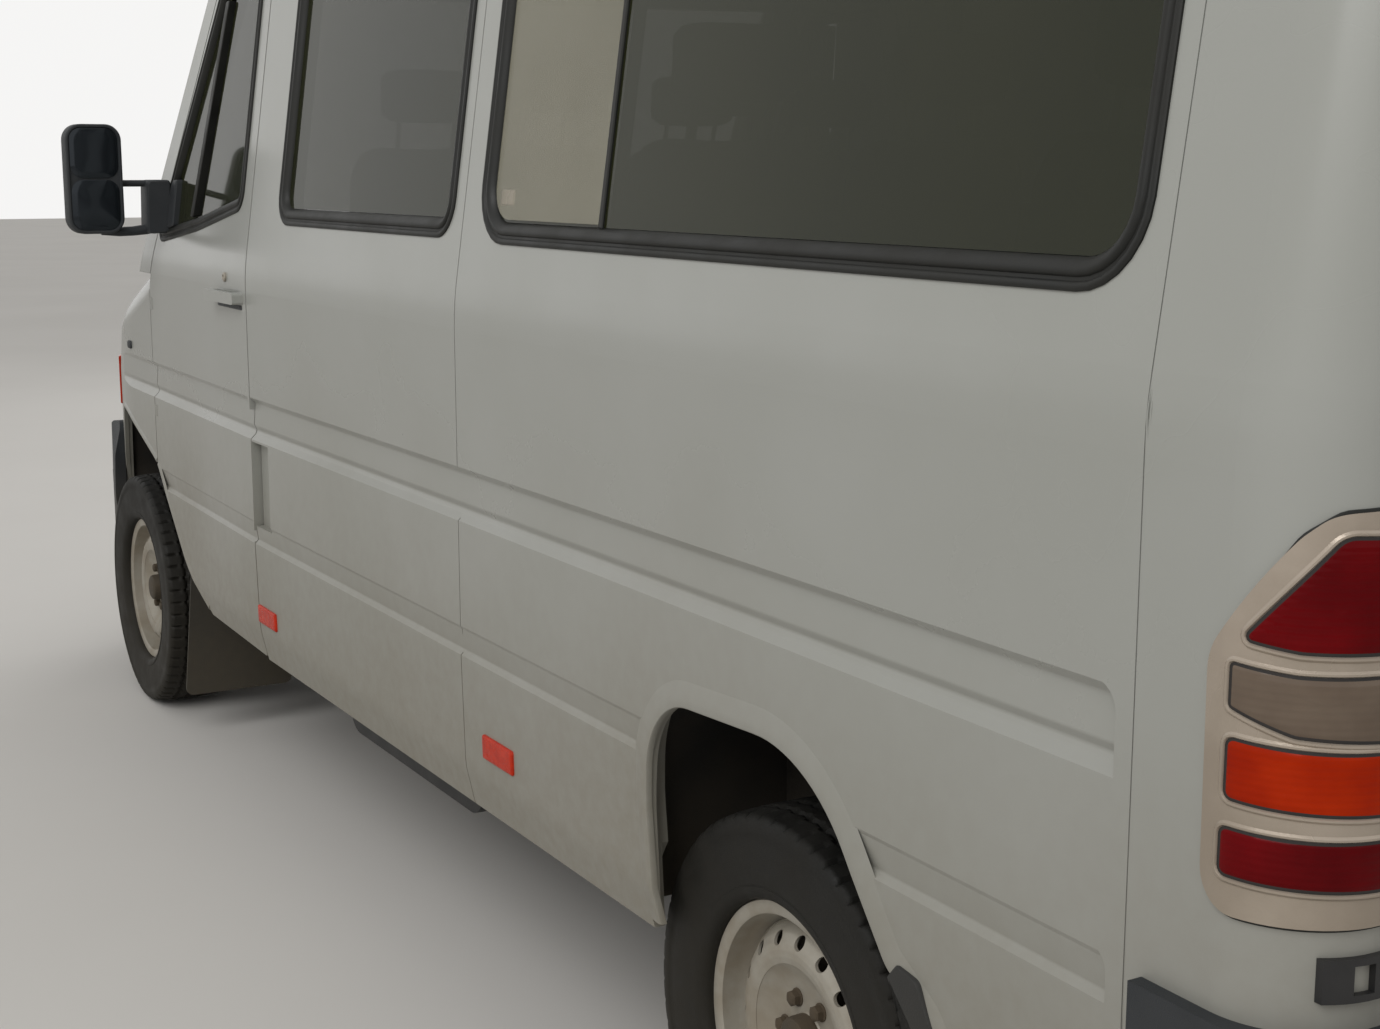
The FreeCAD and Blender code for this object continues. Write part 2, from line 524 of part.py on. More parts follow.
def bumper_plan(inset):
    """Front bumper seen from above, moved inwards by inset."""
    rear_x, end_y = FRONT_AXLE_X + 392 - inset, HALF_WIDTH - 92 - inset
    left = [(rear_x, end_y), (2590.0, end_y - 78, 220.0), (2860.0 - inset, 560.0, 260.0)]
    plan = slab(left + [(c[0], -c[1]) + c[2:] for c in reversed(left)], "z", 200.0, 820.0)
    y = end_y
    section = [(y - 130, 200.0), (y - 46, 390.0, 60.0), (y - 8, 500.0, 80.0), (y + 1, 560.0, 80.0),
               (y - 4, 690.0, 90.0), (y - 34, 820.0)]
    section += [(-c[0],) + c[1:] for c in reversed(section)]
    return plan.common(slab(section, "x", 1500.0, 3000.0))


def make_front_bumper():
    """Wrap-round bumper with intake and plate recess."""
    outer = [(PLAN_CENTRE_X, 262.0), (NOSE_X + 70, 262.0, 30.0), (NOSE_X + 110, 330.0, 50.0),
             (NOSE_X + 110, 520.0, 40.0), (NOSE_X + 40, 596.0, 20.0), (PLAN_CENTRE_X, 596.0)]
    inner = [(PLAN_CENTRE_X, 300.0), (NOSE_X + 44, 300.0, 20.0), (NOSE_X + 50, 360.0, 30.0),
             (NOSE_X + 50, 500.0, 30.0), (NOSE_X + 14, 562.0, 10.0), (PLAN_CENTRE_X, 562.0)]
    shell = plan_swept(outer).common(bumper_plan(0.0)).cut(plan_swept(inner).common(bumper_plan(46.0)))
    rear_x = FRONT_AXLE_X + 392
    keep = box((rear_x, 2900.0), (-1000.0, 1000.0), (200.0, 640.0))
    low_back = bumper_plan(46.0).common(box((2000.0, 2740.0), (-860.0, 860.0), (240.0, 310.0)))
    intake = slab(frame_outline(-430.0, 430.0, 318.0, 372.0, 20.0), "x", 2600.0, 2900.0)
    nose = nose_body(-SEAT_GAP - 2).common(box((2000.0, 2900.0), (-1000.0, 1000.0), (540.0, 830.0)))
    ends = bumper_plan(0.0).cut(bumper_plan(46.0)).common(slab(
        [(rear_x, 560.0), (2500.0, 560.0), (2500.0, 596.0), (2400.0, 694.0, 30.0), (2330.0, 784.0, 50.0),
         (rear_x, 796.0, 36.0)], "y", -1000.0, 1000.0))
    house = box((2000.0, FRONT_AXLE_X + 438), (154 - HALF_WIDTH, HALF_WIDTH - 154), (400.0, 820.0))
    bumper = cut_all(fused([shell.common(keep), ends]), [low_back, intake, nose, house])
    stays = [box((2560.0 + SEAT_GAP, 2765.0), (s * 400.0 - 30, s * 400.0 + 30), (500.0, 575.0)) for s in (1, -1)]
    write("front_bumper", fused([largest(bumper)] + stays))


def door_notch(z):
    """Room in the door's front edge for a hinge eye at height z."""
    x, y, half = DOOR_SWING_X, DOOR_SWING_Y, DOOR_EYE / 2 + SEAT_GAP
    return box((x - 13, DOOR_FRONT_X + 5), (y - 13, y + 60), (z - half, z + half))


def door_eye(z):
    """Fixed eye of a front door hinge, with its arm to the wing."""
    x, y, half = DOOR_SWING_X, DOOR_SWING_Y, DOOR_EYE / 2
    arm = box((x, DOOR_FRONT_X + GAP + 12), (y - 5, y + 4), (z - half, z + half))
    return fused([rod((x, y, z - half), (x, y, z + half), 8.0), arm])


def make_front_doors():
    """Front doors with their windows, mirrors and glass."""
    wall = side_skin(0.0, WALL, 0, 1700.0, True)
    wall = cut_all(wall, pressings(PILLAR_X, 1700.0, True))
    door = wall.common(offset_slab(FRONT_DOOR, 0, SIDE_NEAR, SIDE_FAR))
    door = door.cut(slab(FRONT_ARCH, "y", SIDE_NEAR, SIDE_FAR))
    door = cut_all(door, [door_notch(z) for z in DOOR_HINGES])
    door = door.cut(offset_slab(FRONT_DOOR_WINDOW, 0, SIDE_NEAR, SIDE_FAR))
    grip_y = HALF_WIDTH + along_toe(560.0)
    grip = slab([(490.0, 1262.0, 6.0), (720.0, 1262.0, 6.0), (720.0, 1288.0, 6.0), (490.0, 1288.0, 6.0)], "y",
                grip_y - 6, grip_y + 28)
    grip = grip.cut(box((530.0, 690.0), (grip_y, grip_y + 16), (1240.0, 1310.0)))
    door = fused([door, grip])
    seals, panes = window_set([FRONT_DOOR_WINDOW], True, 0, 1700.0)
    inside = offset_slab(FRONT_DOOR_WINDOW, SEAL_IN - 4, SIDE_NEAR, SIDE_FAR)
    bar = side_skin(-3.0, 20.0, 0, 1700.0, True).common(slab(QUARTER_BAR, "y", SIDE_NEAR, SIDE_FAR)).common(inside)
    sail = side_skin(-3.0, 20.0, 0, 1700.0, True).common(slab(MIRROR_SAIL, "y", SIDE_NEAR, SIDE_FAR)).common(inside)
    seal = fused([seals[0], bar, sail])
    pane = panes[0]
    for outline in (QUARTER_BAR, MIRROR_SAIL):
        pane = pane.cut(offset_slab(outline, -SEAT_GAP, SIDE_NEAR, SIDE_FAR))
    mirror = make_mirror()
    for side, shape in (("left", door), ("right", other_side(door))):
        write(f"front_door_{side}", shape)
    write("door_glass_left", pane)
    write("door_glass_right", other_side(pane))
    trim = [seal, mirror]
    write("door_trim_left", *trim)
    write("door_trim_right", *[other_side(t) for t in trim])


MIRROR_X = 1250.0
QUARTER_BAR = [(955.0, 1380.0), (1001.0, 1380.0), (828.0, 2010.0), (782.0, 2010.0)]
MIRROR_SAIL = [(1160.0, 1380.0), (1330.0, 1380.0), (1330.0, 1545.0), (1160.0, 1545.0)]


def make_mirror():
    """Mirror head on two arms from the foot at the quarter window."""
    x, w = MIRROR_X, HALF_WIDTH
    head = slab(frame_outline(w + 80, w + 220, 1404.0, 1680.0, 26.0), "x", x - 34, x + 50)
    arms = [rod((x, w + 19, z), (x, w + 90, z), r) for z, r in ((1531.0, 10.0), (1424.0, 12.0))]
    foot = slab([(x - 45, 1410.0, 10.0), (x + 50, 1402.0, 10.0), (x + 40, 1540.0, 14.0), (x - 35, 1540.0, 10.0)], "y",
                w - 86, w + 26)
    foot = largest(foot.cut(tunnel(side_contour(-SEAL_PROUD - SEAT_GAP), SILL_Z, 0, 1700.0, True)))
    return fused([head, foot] + arms)


def rear_body(inset):
    """Closed rear end of the body with rounded corners and roof edge, moved inwards by inset."""
    end = POST_X + (0.0 if inset <= 0 else 5.0)
    solid = tunnel(full_contour(inset), SILL_Z, REAR_FACE_X + inset, end)
    edges = [e for e in solid.Edges if e.BoundBox.XMax < REAR_FACE_X + inset + 1
             and e.CenterOfMass.z > SILL_Z + 2]
    return solid.makeFillet(CORNER_R - inset, edges)


def make_rear():
    """Corner posts, header and sill as one frame, with hinges, doors and glass."""
    body = rear_body(0.0)
    hole = slab(frame_outline(-REAR_DOOR_Y, REAR_DOOR_Y, REAR_DOOR_BOTTOM, REAR_DOOR_TOP, 50.0), "x",
                REAR_FACE_X - 50, REAR_FACE_X + 60)
    lamp = tail_lamp(SEAT_GAP)
    frame = cut_all(body, [rear_body(WALL), hole, lamp, other_side(lamp)])
    write("rear_frame", frame)
    lens = tail_lamp(0.0)
    write("tail_lamps", lens, other_side(lens))
    fixed = [hinge_leaf(z) for z in REAR_HINGES]
    write("rear_hinges", *fixed, *[other_side(f) for f in fixed])
    door = body.common(slab(frame_outline(3.0, REAR_DOOR_Y - GAP, REAR_DOOR_BOTTOM + GAP, REAR_DOOR_TOP - GAP, 46.0),
                            "x", REAR_FACE_X, REAR_FACE_X + 55))
    y0, y1, z0, z1, r = REAR_WINDOW
    opening = slab(frame_outline(y0, y1, z0, z1, r), "x", REAR_FACE_X - 50, REAR_FACE_X + 100)
    straps = [hinge_strap(z) for z in REAR_HINGES]
    door = fused([door.cut(opening)] + straps)
    write("rear_door_left", door)
    write("rear_door_right", other_side(door))
    seal = slab(frame_outline(y0, y1, z0, z1, r, SEAL_LIP), "x", REAR_FACE_X - SEAL_PROUD, REAR_FACE_X)
    rim = slab(frame_outline(y0, y1, z0, z1, r, -SEAT_GAP), "x", REAR_FACE_X, REAR_FACE_X + SEAL_IN)
    hole = slab(frame_outline(y0, y1, z0, z1, r, -SEAL_IN), "x", REAR_FACE_X - 50, REAR_FACE_X + 100)
    seal = fused([seal, rim]).cut(hole)
    pane = slab(frame_outline(y0, y1, z0, z1, r, -SEAL_IN - SEAT_GAP), "x", REAR_FACE_X + GLASS_DEPTH,
                REAR_FACE_X + GLASS_DEPTH + GLASS)
    write("rear_door_glass_left", pane)
    write("rear_door_glass_right", other_side(pane))
    write("rear_door_seal_left", seal)
    write("rear_door_seal_right", other_side(seal))


def tail_lamp(grow):
    """Tall lamp that wraps the rear corner, its front top edge sloping."""
    front_x, top_z, low_z = REAR_FACE_X + 120 + grow, 1272.0 + grow, 866.0 - grow
    outline = [(front_x, low_z, 42.0), (front_x + 3, 1120.0, 60.0), (front_x - 84, top_z - 32, 40.0),
               (front_x - 104, top_z - 10, 30.0), (front_x - 140, top_z - 4), (front_x - 300, top_z), (front_x - 300, low_z)]
    body = rear_body(-6.0 - grow).cut(rear_body(30.0 + grow)).common(slab(outline, "y", SIDE_NEAR, SIDE_FAR))
    return body.common(box((-2900.0, -2500.0), (HALF_WIDTH - 138 - grow, SIDE_FAR), (700.0, 1400.0)))


def hinge_leaf(z):
    """Fixed half of a rear hinge: leaf on the post with its open window, and the middle knuckle."""
    x, y = REAR_PIN
    span = (z - HINGE_TALL / 2, z + HINGE_TALL / 2)
    leaf = rear_body(-8.0).cut(rear_body(-SEAT_GAP)).common(box((-2900.0, -2600.0), (y - 4, y + 118), span))
    leaf = leaf.cut(box((-2900.0, -2600.0), (y + 65, y + 89), (z - HINGE_TALL / 3, z + HINGE_TALL / 3)))
    web = box((x, REAR_FACE_X + 60), (y - PIN_R + 2, y + PIN_R - 2), (z - HINGE_TALL / 6, z + HINGE_TALL / 6))
    web = largest(web.cut(rear_body(-SEAT_GAP)))
    knuckle = rod((x, y, z - HINGE_TALL / 6), (x, y, z + HINGE_TALL / 6), PIN_R)
    return fused([leaf, web, knuckle])


def hinge_strap(z):
    """Moving half: two knuckles and the strap on the door."""
    x, y = REAR_PIN
    parts = []
    for low in (z - HINGE_TALL / 2, z + HINGE_TALL / 6 + SEAT_GAP):
        high = low + HINGE_TALL / 3 - SEAT_GAP
        parts.append(rod((x, y, low), (x, y, high), PIN_R))
        parts.append(box((x - 6, x + 6), (y - 60, y), (low, high)))
    parts.append(box((x - 6, REAR_FACE_X + 2), (y - 120, y - 46), (z - HINGE_TALL / 2, z + HINGE_TALL / 2)))
    return fused(parts)


def make_rear_bumper():
    """Step bumper whose corners rise beside the posts."""
    w = HALF_WIDTH
    low_plan = [(-2800.0, 66 - w, 130.0), (-2545.0, -w - 6), (-2545.0, w + 6), (-2800.0, w - 66, 130.0)]
    inner_plan = [(-2735.0, 116 - w, 90.0), (-2500.0, 56 - w), (-2500.0, w - 56), (-2735.0, w - 116, 90.0)]
    body = slab(low_plan, "z", 395.0, 596.0).cut(slab(inner_plan, "z", 380.0, 560.0))
    post = rear_keepout()
    high_plan = [(-2757.0, -w - 19, 120.0), (-2520.0, -w - 19), (-2520.0, w + 19), (-2757.0, w + 19, 120.0)]
    cap = slab(high_plan, "z", 560.0, 760.0).cut(box((-2900.0, -2400.0), (166 - w, w - 166), (500.0, 800.0)))
    bumper = fused([body, cap]).cut(post)
    write("rear_bumper", *[s for s in bumper.Solids if s.Volume > 1e5])


def rear_keepout():
    """The rear frame's own space, with a seat gap, as the bumper clears it."""
    return rear_body(-SEAT_GAP)


def make_floor():
    """Floor plate with wheel cut-outs, sills, rails and cross members."""
    rear_x = REAR_FACE_X + 105
    plate = box((rear_x, PILLAR_X - 10), (-1000.0, 1000.0), (FLOOR_Z, FLOOR_Z + FLOOR_T))
    plate = plate.common(tunnel(side_contour(WALL + SEAT_GAP), SILL_Z, rear_x - 5, PILLAR_X))
    step = box((PILLAR_X - 20, 1180.0), (98 - HALF_WIDTH, HALF_WIDTH - 98), (FLOOR_Z, FLOOR_Z + FLOOR_T))
    toe_board = box((1170.0, 1500.0), (-490.0 + SEAT_GAP, 490.0 - SEAT_GAP), (FLOOR_Z, FLOOR_Z + FLOOR_T - SEAT_GAP))
    well = box((REAR_AXLE_X - 460 - SEAT_GAP, REAR_AXLE_X + 375 + SEAT_GAP), (HOUSE_INNER_Y - SEAT_GAP, SIDE_FAR),
               (500.0, 700.0))
    plate = cut_all(plate, [well, other_side(well)])
    rails = []
    for s in (1, -1):
        rails.append(box((-2640.0, 2560.0), (s * 400.0 - 35, s * 400.0 + 35), (FLOOR_Z - 110, FLOOR_Z)))
        for x0, x1, y in ((REAR_AXLE_X + 392, PILLAR_X, HALF_WIDTH - 106), (PILLAR_X - 20, 1100.0, HALF_WIDTH - 130)):
            rails.append(box((x0, x1), (s * y - 30, s * y + 30), (SILL_Z + 6, FLOOR_Z)))
    for x in (-2600.0, -1150.0, -500.0, 300.0, 1100.0, 2480.0):
        rails.append(box((x, x + 60), (-400.0, 400.0), (FLOOR_Z - 90, FLOOR_Z - 20)))
    write("floor", fused([plate, step, toe_board] + rails))


def wheel_house(x, outline, inner_y, outer_y):
    """Arched liner over a wheel with its inner wall."""
    shell = slab(outline, "y", inner_y, outer_y).cut(
        offset_slab(outline, 10.0, inner_y + 10.0, outer_y + 10.0))
    return shell.cut(box((-3000.0, 3000.0), (0.0, 1200.0), (0.0, SILL_Z + 10)))


def make_wheel_houses():
    left = wheel_house(REAR_AXLE_X, REAR_HOUSE, HOUSE_INNER_Y, HALF_WIDTH)
    left = left.common(tunnel(side_contour(WALL + SEAT_GAP), SILL_Z, REAR_AXLE_X - 600, REAR_AXLE_X + 600))
    fore = wheel_house(FRONT_AXLE_X, FRONT_HOUSE, 490.0, HALF_WIDTH - 86).common(nose_body(PANEL + SEAT_GAP))
    strut = rod((FRONT_AXLE_X, KING_Y - 18, 496.0 + 2 * SEAT_GAP), (FRONT_AXLE_X, KING_Y - 50, 890.0), 18.0)
    fore = fused([fore, strut])
    rear_solids = [left, other_side(left)]
    front_solids = [fore, other_side(fore)]
    write("wheel_houses", *rear_solids, *front_solids)


def make_mud_flaps():
    flaps = []
    front = slab([(600.0, 120.0, 20.0), (905.0, 120.0, 20.0), (872.0, 510.0), (620.0, 510.0)], "x", 1372.0, 1378.0)
    front = fused([front, box((1234.6, 1378.0), (620.0, 872.0), (504.0, 510.0))])
    out_y = HALF_WIDTH - 78
    rear = slab([(690.0, 235.0, 20.0), (out_y + 62, 235.0, 20.0), (out_y + 62, SILL_Z - 8), (out_y, SILL_Z - 2),
                 (out_y, 600.0), (690.0, 600.0)], "x", REAR_AXLE_X - 449.6, REAR_AXLE_X - 443.6)
    for flap in (front, rear):
        flaps += [flap, other_side(flap)]
    write("mud_flaps", *flaps)


def lathe(profile, y_axis_x, z):
    """Revolves a (y, radius) profile about the line along Y through (x, z)."""
    wire = rounded_wire(profile, lambda a, b: vec(y_axis_x, a, z + b))
    return Part.Face(wire).revolve(vec(y_axis_x, 0, z), vec(0, 1, 0), 360)


def make_tyre(x):
    h = TYRE_W / 2
    seat = RIM_HALF - 4 - SEAT_GAP
    profile = [(WHEEL_Y - seat, BEAD_R + SEAT_GAP), (WHEEL_Y - seat, BEAD_R + 18), (WHEEL_Y - h + 4, BEAD_R + 30, 14.0),
               (WHEEL_Y - h, BEAD_R + 72, 90.0), (WHEEL_Y - h + 6, TYRE_R - 12, 26.0), (WHEEL_Y - 60, TYRE_R, 160.0),
               (WHEEL_Y + 60, TYRE_R, 160.0), (WHEEL_Y + h - 6, TYRE_R - 12, 26.0), (WHEEL_Y + h, BEAD_R + 72, 90.0),
               (WHEEL_Y + h - 4, BEAD_R + 30, 14.0), (WHEEL_Y + seat, BEAD_R + 18),
               (WHEEL_Y + seat, BEAD_R + SEAT_GAP)]
    return lathe(profile, x, AXLE_Z)


def make_rim(x):
    """Steel wheel: barrel with flanges, domed disc with round vents and centre cover."""
    y, f, r = WHEEL_Y, HUB_FACE_Y + SEAT_GAP, BEAD_R
    barrel = lathe([(y - RIM_HALF, r - 6), (y - RIM_HALF, r + 17), (y - RIM_HALF + 4, r + 17), (y - RIM_HALF + 4, r),
                    (y + RIM_HALF - 4, r), (y + RIM_HALF - 4, r + 17), (y + RIM_HALF, r + 17), (y + RIM_HALF, r - 6),
                    (y + 60, r - 14), (y + 40, r - 28), (y - 60, r - 24)], x, AXLE_Z)
    disc = lathe([(f, 0.0), (f + 62, 0.0), (f + 62, 32.0, 8.0), (f + 40, 44.0, 8.0), (f + 30, 100.0, 20.0),
                  (f + 36, 128.0, 20.0), (f + 10, 170.0), (f - 6, 170.0), (f + 18, 128.0, 16.0), (f + 14, 108.0, 10.0),
                  (f, 96.0)], x, AXLE_Z)
    holes = []
    for i in range(DISC_HOLES):
        a = 2 * math.pi * i / DISC_HOLES
        cx, cz = x + 146.0 * math.cos(a), AXLE_Z + 146.0 * math.sin(a)
        holes.append(rod((cx, f - 40, cz), (cx, f + 80, cz), 9.0))
    return cut_all(fused([barrel, disc]), [Part.makeCompound(holes)])


def make_wheels():
    for name, x in (("front", FRONT_AXLE_X), ("rear", REAR_AXLE_X)):
        tyre, rim = make_tyre(x), make_rim(x)
        for side, turn in (("left", lambda s: s), ("right", other_side)):
            write(f"tyre_{name}_{side}", turn(tyre))
            write(f"wheel_{name}_{side}", turn(rim))


def make_front_suspension():
    """Knuckles with strut, disc and steering arm; subframe with lower arms, strut towers and rack housing."""
    x = FRONT_AXLE_X
    strut = rod((x, KING_Y, 206.0), (x, KING_Y, 496.0), 24.0)
    hub = rod((x, KING_Y - 10, AXLE_Z), (x, HUB_FACE_Y, AXLE_Z), 40.0)
    disc = rod((x, WHEEL_Y - 45, AXLE_Z), (x, WHEEL_Y - 19, AXLE_Z), 138.0)
    flange = rod((x, HUB_FACE_Y - 12, AXLE_Z), (x, HUB_FACE_Y, AXLE_Z), 78.0)
    arm = box((x - 150, x), (KING_Y - 22, KING_Y + 10), (212.0, 249.0 - SEAT_GAP))
    knuckle = fused([strut, hub, disc, flange, arm])
    write("knuckle_left", knuckle)
    write("knuckle_right", other_side(knuckle))
    beam = box((x - 60, x + 60), (-400.0, 400.0), (300.0, 370.0))
    legs = [box((x - 60, x + 60), (s * 400.0 - 35, s * 400.0 + 35), (300.0, FLOOR_Z - 110 - SEAT_GAP)) for s in (1, -1)]
    arms = []
    for s in (1, -1):
        lower = slab([(x - 90, s * 380.0), (x + 90, s * 380.0), (x + 34, s * (KING_Y + 20)), (x - 34, s * (KING_Y + 20))],
                     "z", 168.0, 206.0 - SEAT_GAP)
        arms.append(lower)
        arms.append(box((x - 50, x + 50), (s * 400.0 - 35, s * 400.0 + 35), (168.0, 320.0)))
    rack = rod((x - 150, -330.0, 262.0), (x - 150, 330.0, 262.0), 30.0)
    mount = [box((x - 150, x - 40), (s * 250.0 - 20, s * 250.0 + 20), (285.0, 345.0)) for s in (1, -1)]
    bore = rod((x - 150, -340.0, 262.0), (x - 150, 340.0, 262.0), 13.06)
    write("front_subframe", fused([beam] + legs + arms + [rack] + mount).cut(bore))
    bar = rod((x - 150, 5 - KING_Y, 262.0), (x - 150, KING_Y - 5, 262.0), 13.0)
    write("track_rod", bar)


def make_rear_axle():
    """Axle tube with differential, drums and leaf springs."""
    x = REAR_AXLE_X
    tube = rod((x, -HUB_FACE_Y, AXLE_Z), (x, HUB_FACE_Y, AXLE_Z), 42.0)
    pot = Part.makeSphere(135.0, vec(x, 0, AXLE_Z))
    nose = rod((x, 0, AXLE_Z), (x + 230, 0, AXLE_Z + 12), 60.0)
    ends = []
    for s in (1, -1):
        ends.append(rod((x, s * (WHEEL_Y - 85), AXLE_Z), (x, s * (WHEEL_Y - 9), AXLE_Z), 136.0))
        ends.append(rod((x, s * (HUB_FACE_Y - 12), AXLE_Z), (x, s * HUB_FACE_Y, AXLE_Z), 78.0))
    springs = []
    for s in (1, -1):
        leaf = [(x - 640, 478.0), (x - 300, 400.0, 500.0), (x, 382.0, 400.0), (x + 300, 400.0, 500.0),
                (x + 640, 478.0), (x + 640, 490.0), (x + 300, 418.0, 500.0), (x, 412.0, 400.0),
                (x - 300, 418.0, 500.0), (x - 640, 490.0)]
        springs.append(slab(leaf, "y", s * 560.0 - 35, s * 560.0 + 35))
        springs.append(box((x - 60, x + 60), (s * 560.0 - 35, s * 560.0 + 35), (360.0, 400.0)))
        for end in (x - 640, x + 620):
            springs.append(box((end, end + 20), (s * 560.0 - 35, s * 560.0 + 35), (478.0, FLOOR_Z - SEAT_GAP)))
    write("rear_axle", fused([tube, pot, nose] + ends + springs))


def make_underbody():
    """Engine with gearbox, propeller shaft, tank, exhaust and spare wheel."""
    engine = box((1640.0, 2320.0), (-270.0, 270.0), (395.0, 950.0))
    gearbox = box((900.0, 1640.0), (-140.0, 140.0), (385.0, 505.0))
    shaft = rod((REAR_AXLE_X + 231, 0.0, 362.0), (900.0, 0.0, 440.0), 38.0)
    write("engine", fused([engine, gearbox, shaft]))
    write("fuel_tank", slab(frame_outline(-500.0, 260.0, 300.0, FLOOR_Z - SEAT_GAP, 60.0), "y", 455.0, 820.0))
    silencer = Part.makeCylinder(110.0, 620.0, vec(-700.0, -652.0, 430.0), vec(1, 0, 0))
    pipe = rod((-80.0, -652.0, 430.0), (900.0, -652.0, 430.0), 28.0)
    end_x = REAR_AXLE_X + 430
    tail = rod((end_x, -652.0, 430.0), (-700.0, -652.0, 430.0), 28.0)
    outlet = rod((end_x, -652.0, 430.0), (end_x, -830.0, 400.0), 26.0)
    hangers = [box((x, x + 12), (-672.0, -632.0), (430.0, FLOOR_Z - SEAT_GAP)) for x in (-660.0, 860.0)]
    write("exhaust", fused([silencer, pipe, tail, outlet] + hangers))
    spare = Part.makeCylinder(TYRE_R - 10, 190.0, vec(-2240.0 + 20, 0.0, 290.0), vec(0, 0, 1))
    spare = spare.cut(Part.makeCylinder(120.0, 150.0, vec(-2220.0, 0.0, 250.0), vec(0, 0, 1)))
    hook = box((-2240.0, -2200.0), (-20.0, 20.0), (480.0, FLOOR_Z - SEAT_GAP))
    write("spare_wheel", fused([spare, hook]))


# Steering wheel: its middle and the lean of its axis from upright
STEERING_AT = (1175.0, HALF_WIDTH - 466, 1185.0)
STEERING_TILT = 60.0

# Seats: x of the seat's middle, y positions
SEAT_ROWS = ((800.0, (500.0, -220.0, -645.0)), (-90.0, (640.0, 215.0)), (-860.0, (640.0, 215.0, -640.0)),
             (-1620.0, (430.0, 0.0, -430.0)), (-2300.0, (430.0, 0.0, -430.0)))
SEAT_W = 420.0


def seat(x, y, foot_z):
    """Seat with cushion, leaning back, head rest and pedestal."""
    cushion = slab([(x - 230, foot_z + 330, 40.0), (x + 240, foot_z + 350, 50.0), (x + 240, foot_z + 450, 45.0),
                    (x - 230, foot_z + 440, 30.0)], "y", y - SEAT_W / 2, y + SEAT_W / 2)
    back = slab([(x - 255, foot_z + 400, 30.0), (x - 135, foot_z + 400, 30.0), (x - 235, foot_z + 1020, 40.0),
                 (x - 330, foot_z + 1020, 40.0)], "y", y - SEAT_W / 2, y + SEAT_W / 2)
    head = slab([(x - 345, foot_z + 1000, 10.0), (x - 250, foot_z + 1000, 10.0), (x - 275, foot_z + 1180, 35.0),
                 (x - 350, foot_z + 1180, 35.0)], "y", y - 130, y + 130)
    legs = box((x - 170, x + 170), (y - 150, y + 150), (foot_z, foot_z + 340))
    return fused([cushion, back, head, legs])


def make_seats():
    floor = FLOOR_Z + FLOOR_T + SEAT_GAP
    seats = [seat(x, y, floor) for x, ys in SEAT_ROWS for y in ys]
    write("seats", *seats)


def make_dash():
    """Dashboard with the steering column, and the steering wheel on its axis."""
    top = plan_swept([(1240.0, 900.0, 60.0), (1330.0, 1180.0, 60.0), (1520.0, 1255.0, 30.0), (1584.6, 1255.0),
                      (1584.6, 900.0)]).common(box((900.0, 1700.0), (136 - HALF_WIDTH, HALF_WIDTH - 136), (850.0, 1300.0)))
    x, y, z = STEERING_AT
    tilt = math.radians(STEERING_TILT)
    away = vec(math.sin(tilt), 0, -math.cos(tilt))
    hub = vec(x, y, z)
    column = Part.makeCylinder(30.0, 300.0, hub + away * (30.0 + SEAT_GAP), away)
    write("dashboard", fused([top, column]))
    wheel = [Part.makeTorus(195.0, 16.0), Part.makeCylinder(48.0, 62.0, vec(0, 0, -30), vec(0, 0, 1))]
    for angle in (90.0, 210.0, 330.0):
        spoke = box((20.0, 192.0), (-17.0, 17.0), (-8.0, 8.0))
        spoke.rotate(vec(0, 0, 0), vec(0, 0, 1), angle)
        wheel.append(spoke)
    wheel = fused(wheel)
    wheel.rotate(vec(0, 0, 0), vec(0, 1, 0), -STEERING_TILT)
    wheel.translate(hub)
    write("steering_wheel", wheel)


if __name__ == "__main__":
    make_sides()
    make_roof()
    make_screen()
    make_nose()
    make_lamps()
    make_grille()
    make_front_bumper()
    make_front_doors()
    make_rear()
    make_rear_bumper()
    make_floor()
    make_wheel_houses()
    make_mud_flaps()
    make_wheels()
    make_front_suspension()
    make_rear_axle()
    make_underbody()
    make_seats()
    make_dash()
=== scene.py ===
# %% [markdown]
# # Dressing a high-roof minibus
# The drawing of this minibus gives its sheet metal, glass and running gear as plain solids in one shared
# frame. This lesson dresses them: paint with road dust, rubber seals, lamp lenses, tyre tread, seats.
# Everything is in metres, X runs forward, Y to the vehicle's left, Z up, and the ground is at Z = 0.

# %% Bring in the frame
import math
import bmesh
import bpy
import numpy as np
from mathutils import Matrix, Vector


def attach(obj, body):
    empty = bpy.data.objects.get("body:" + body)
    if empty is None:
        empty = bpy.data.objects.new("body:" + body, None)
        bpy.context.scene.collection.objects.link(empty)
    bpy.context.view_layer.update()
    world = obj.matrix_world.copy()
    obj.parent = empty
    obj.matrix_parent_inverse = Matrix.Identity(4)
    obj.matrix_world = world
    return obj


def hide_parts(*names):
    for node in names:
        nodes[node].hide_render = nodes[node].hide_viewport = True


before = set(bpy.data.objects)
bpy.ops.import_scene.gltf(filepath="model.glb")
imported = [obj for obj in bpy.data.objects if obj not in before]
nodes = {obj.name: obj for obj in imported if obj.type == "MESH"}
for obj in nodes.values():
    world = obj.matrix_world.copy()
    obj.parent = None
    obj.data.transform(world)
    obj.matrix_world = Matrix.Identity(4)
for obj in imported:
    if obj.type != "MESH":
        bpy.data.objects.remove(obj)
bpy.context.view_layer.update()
print("nodes in the frame:", len(nodes))

# %% [markdown]
# ## Camera
# The picture was taken from behind the rear left corner, a little above eye level, looking forward and
# slightly down. A camera's own view runs along its -Z, so a direction vector is turned into a rotation with
# to_track_quat. The lens length follows from the picture's width and its focal length in pixels.

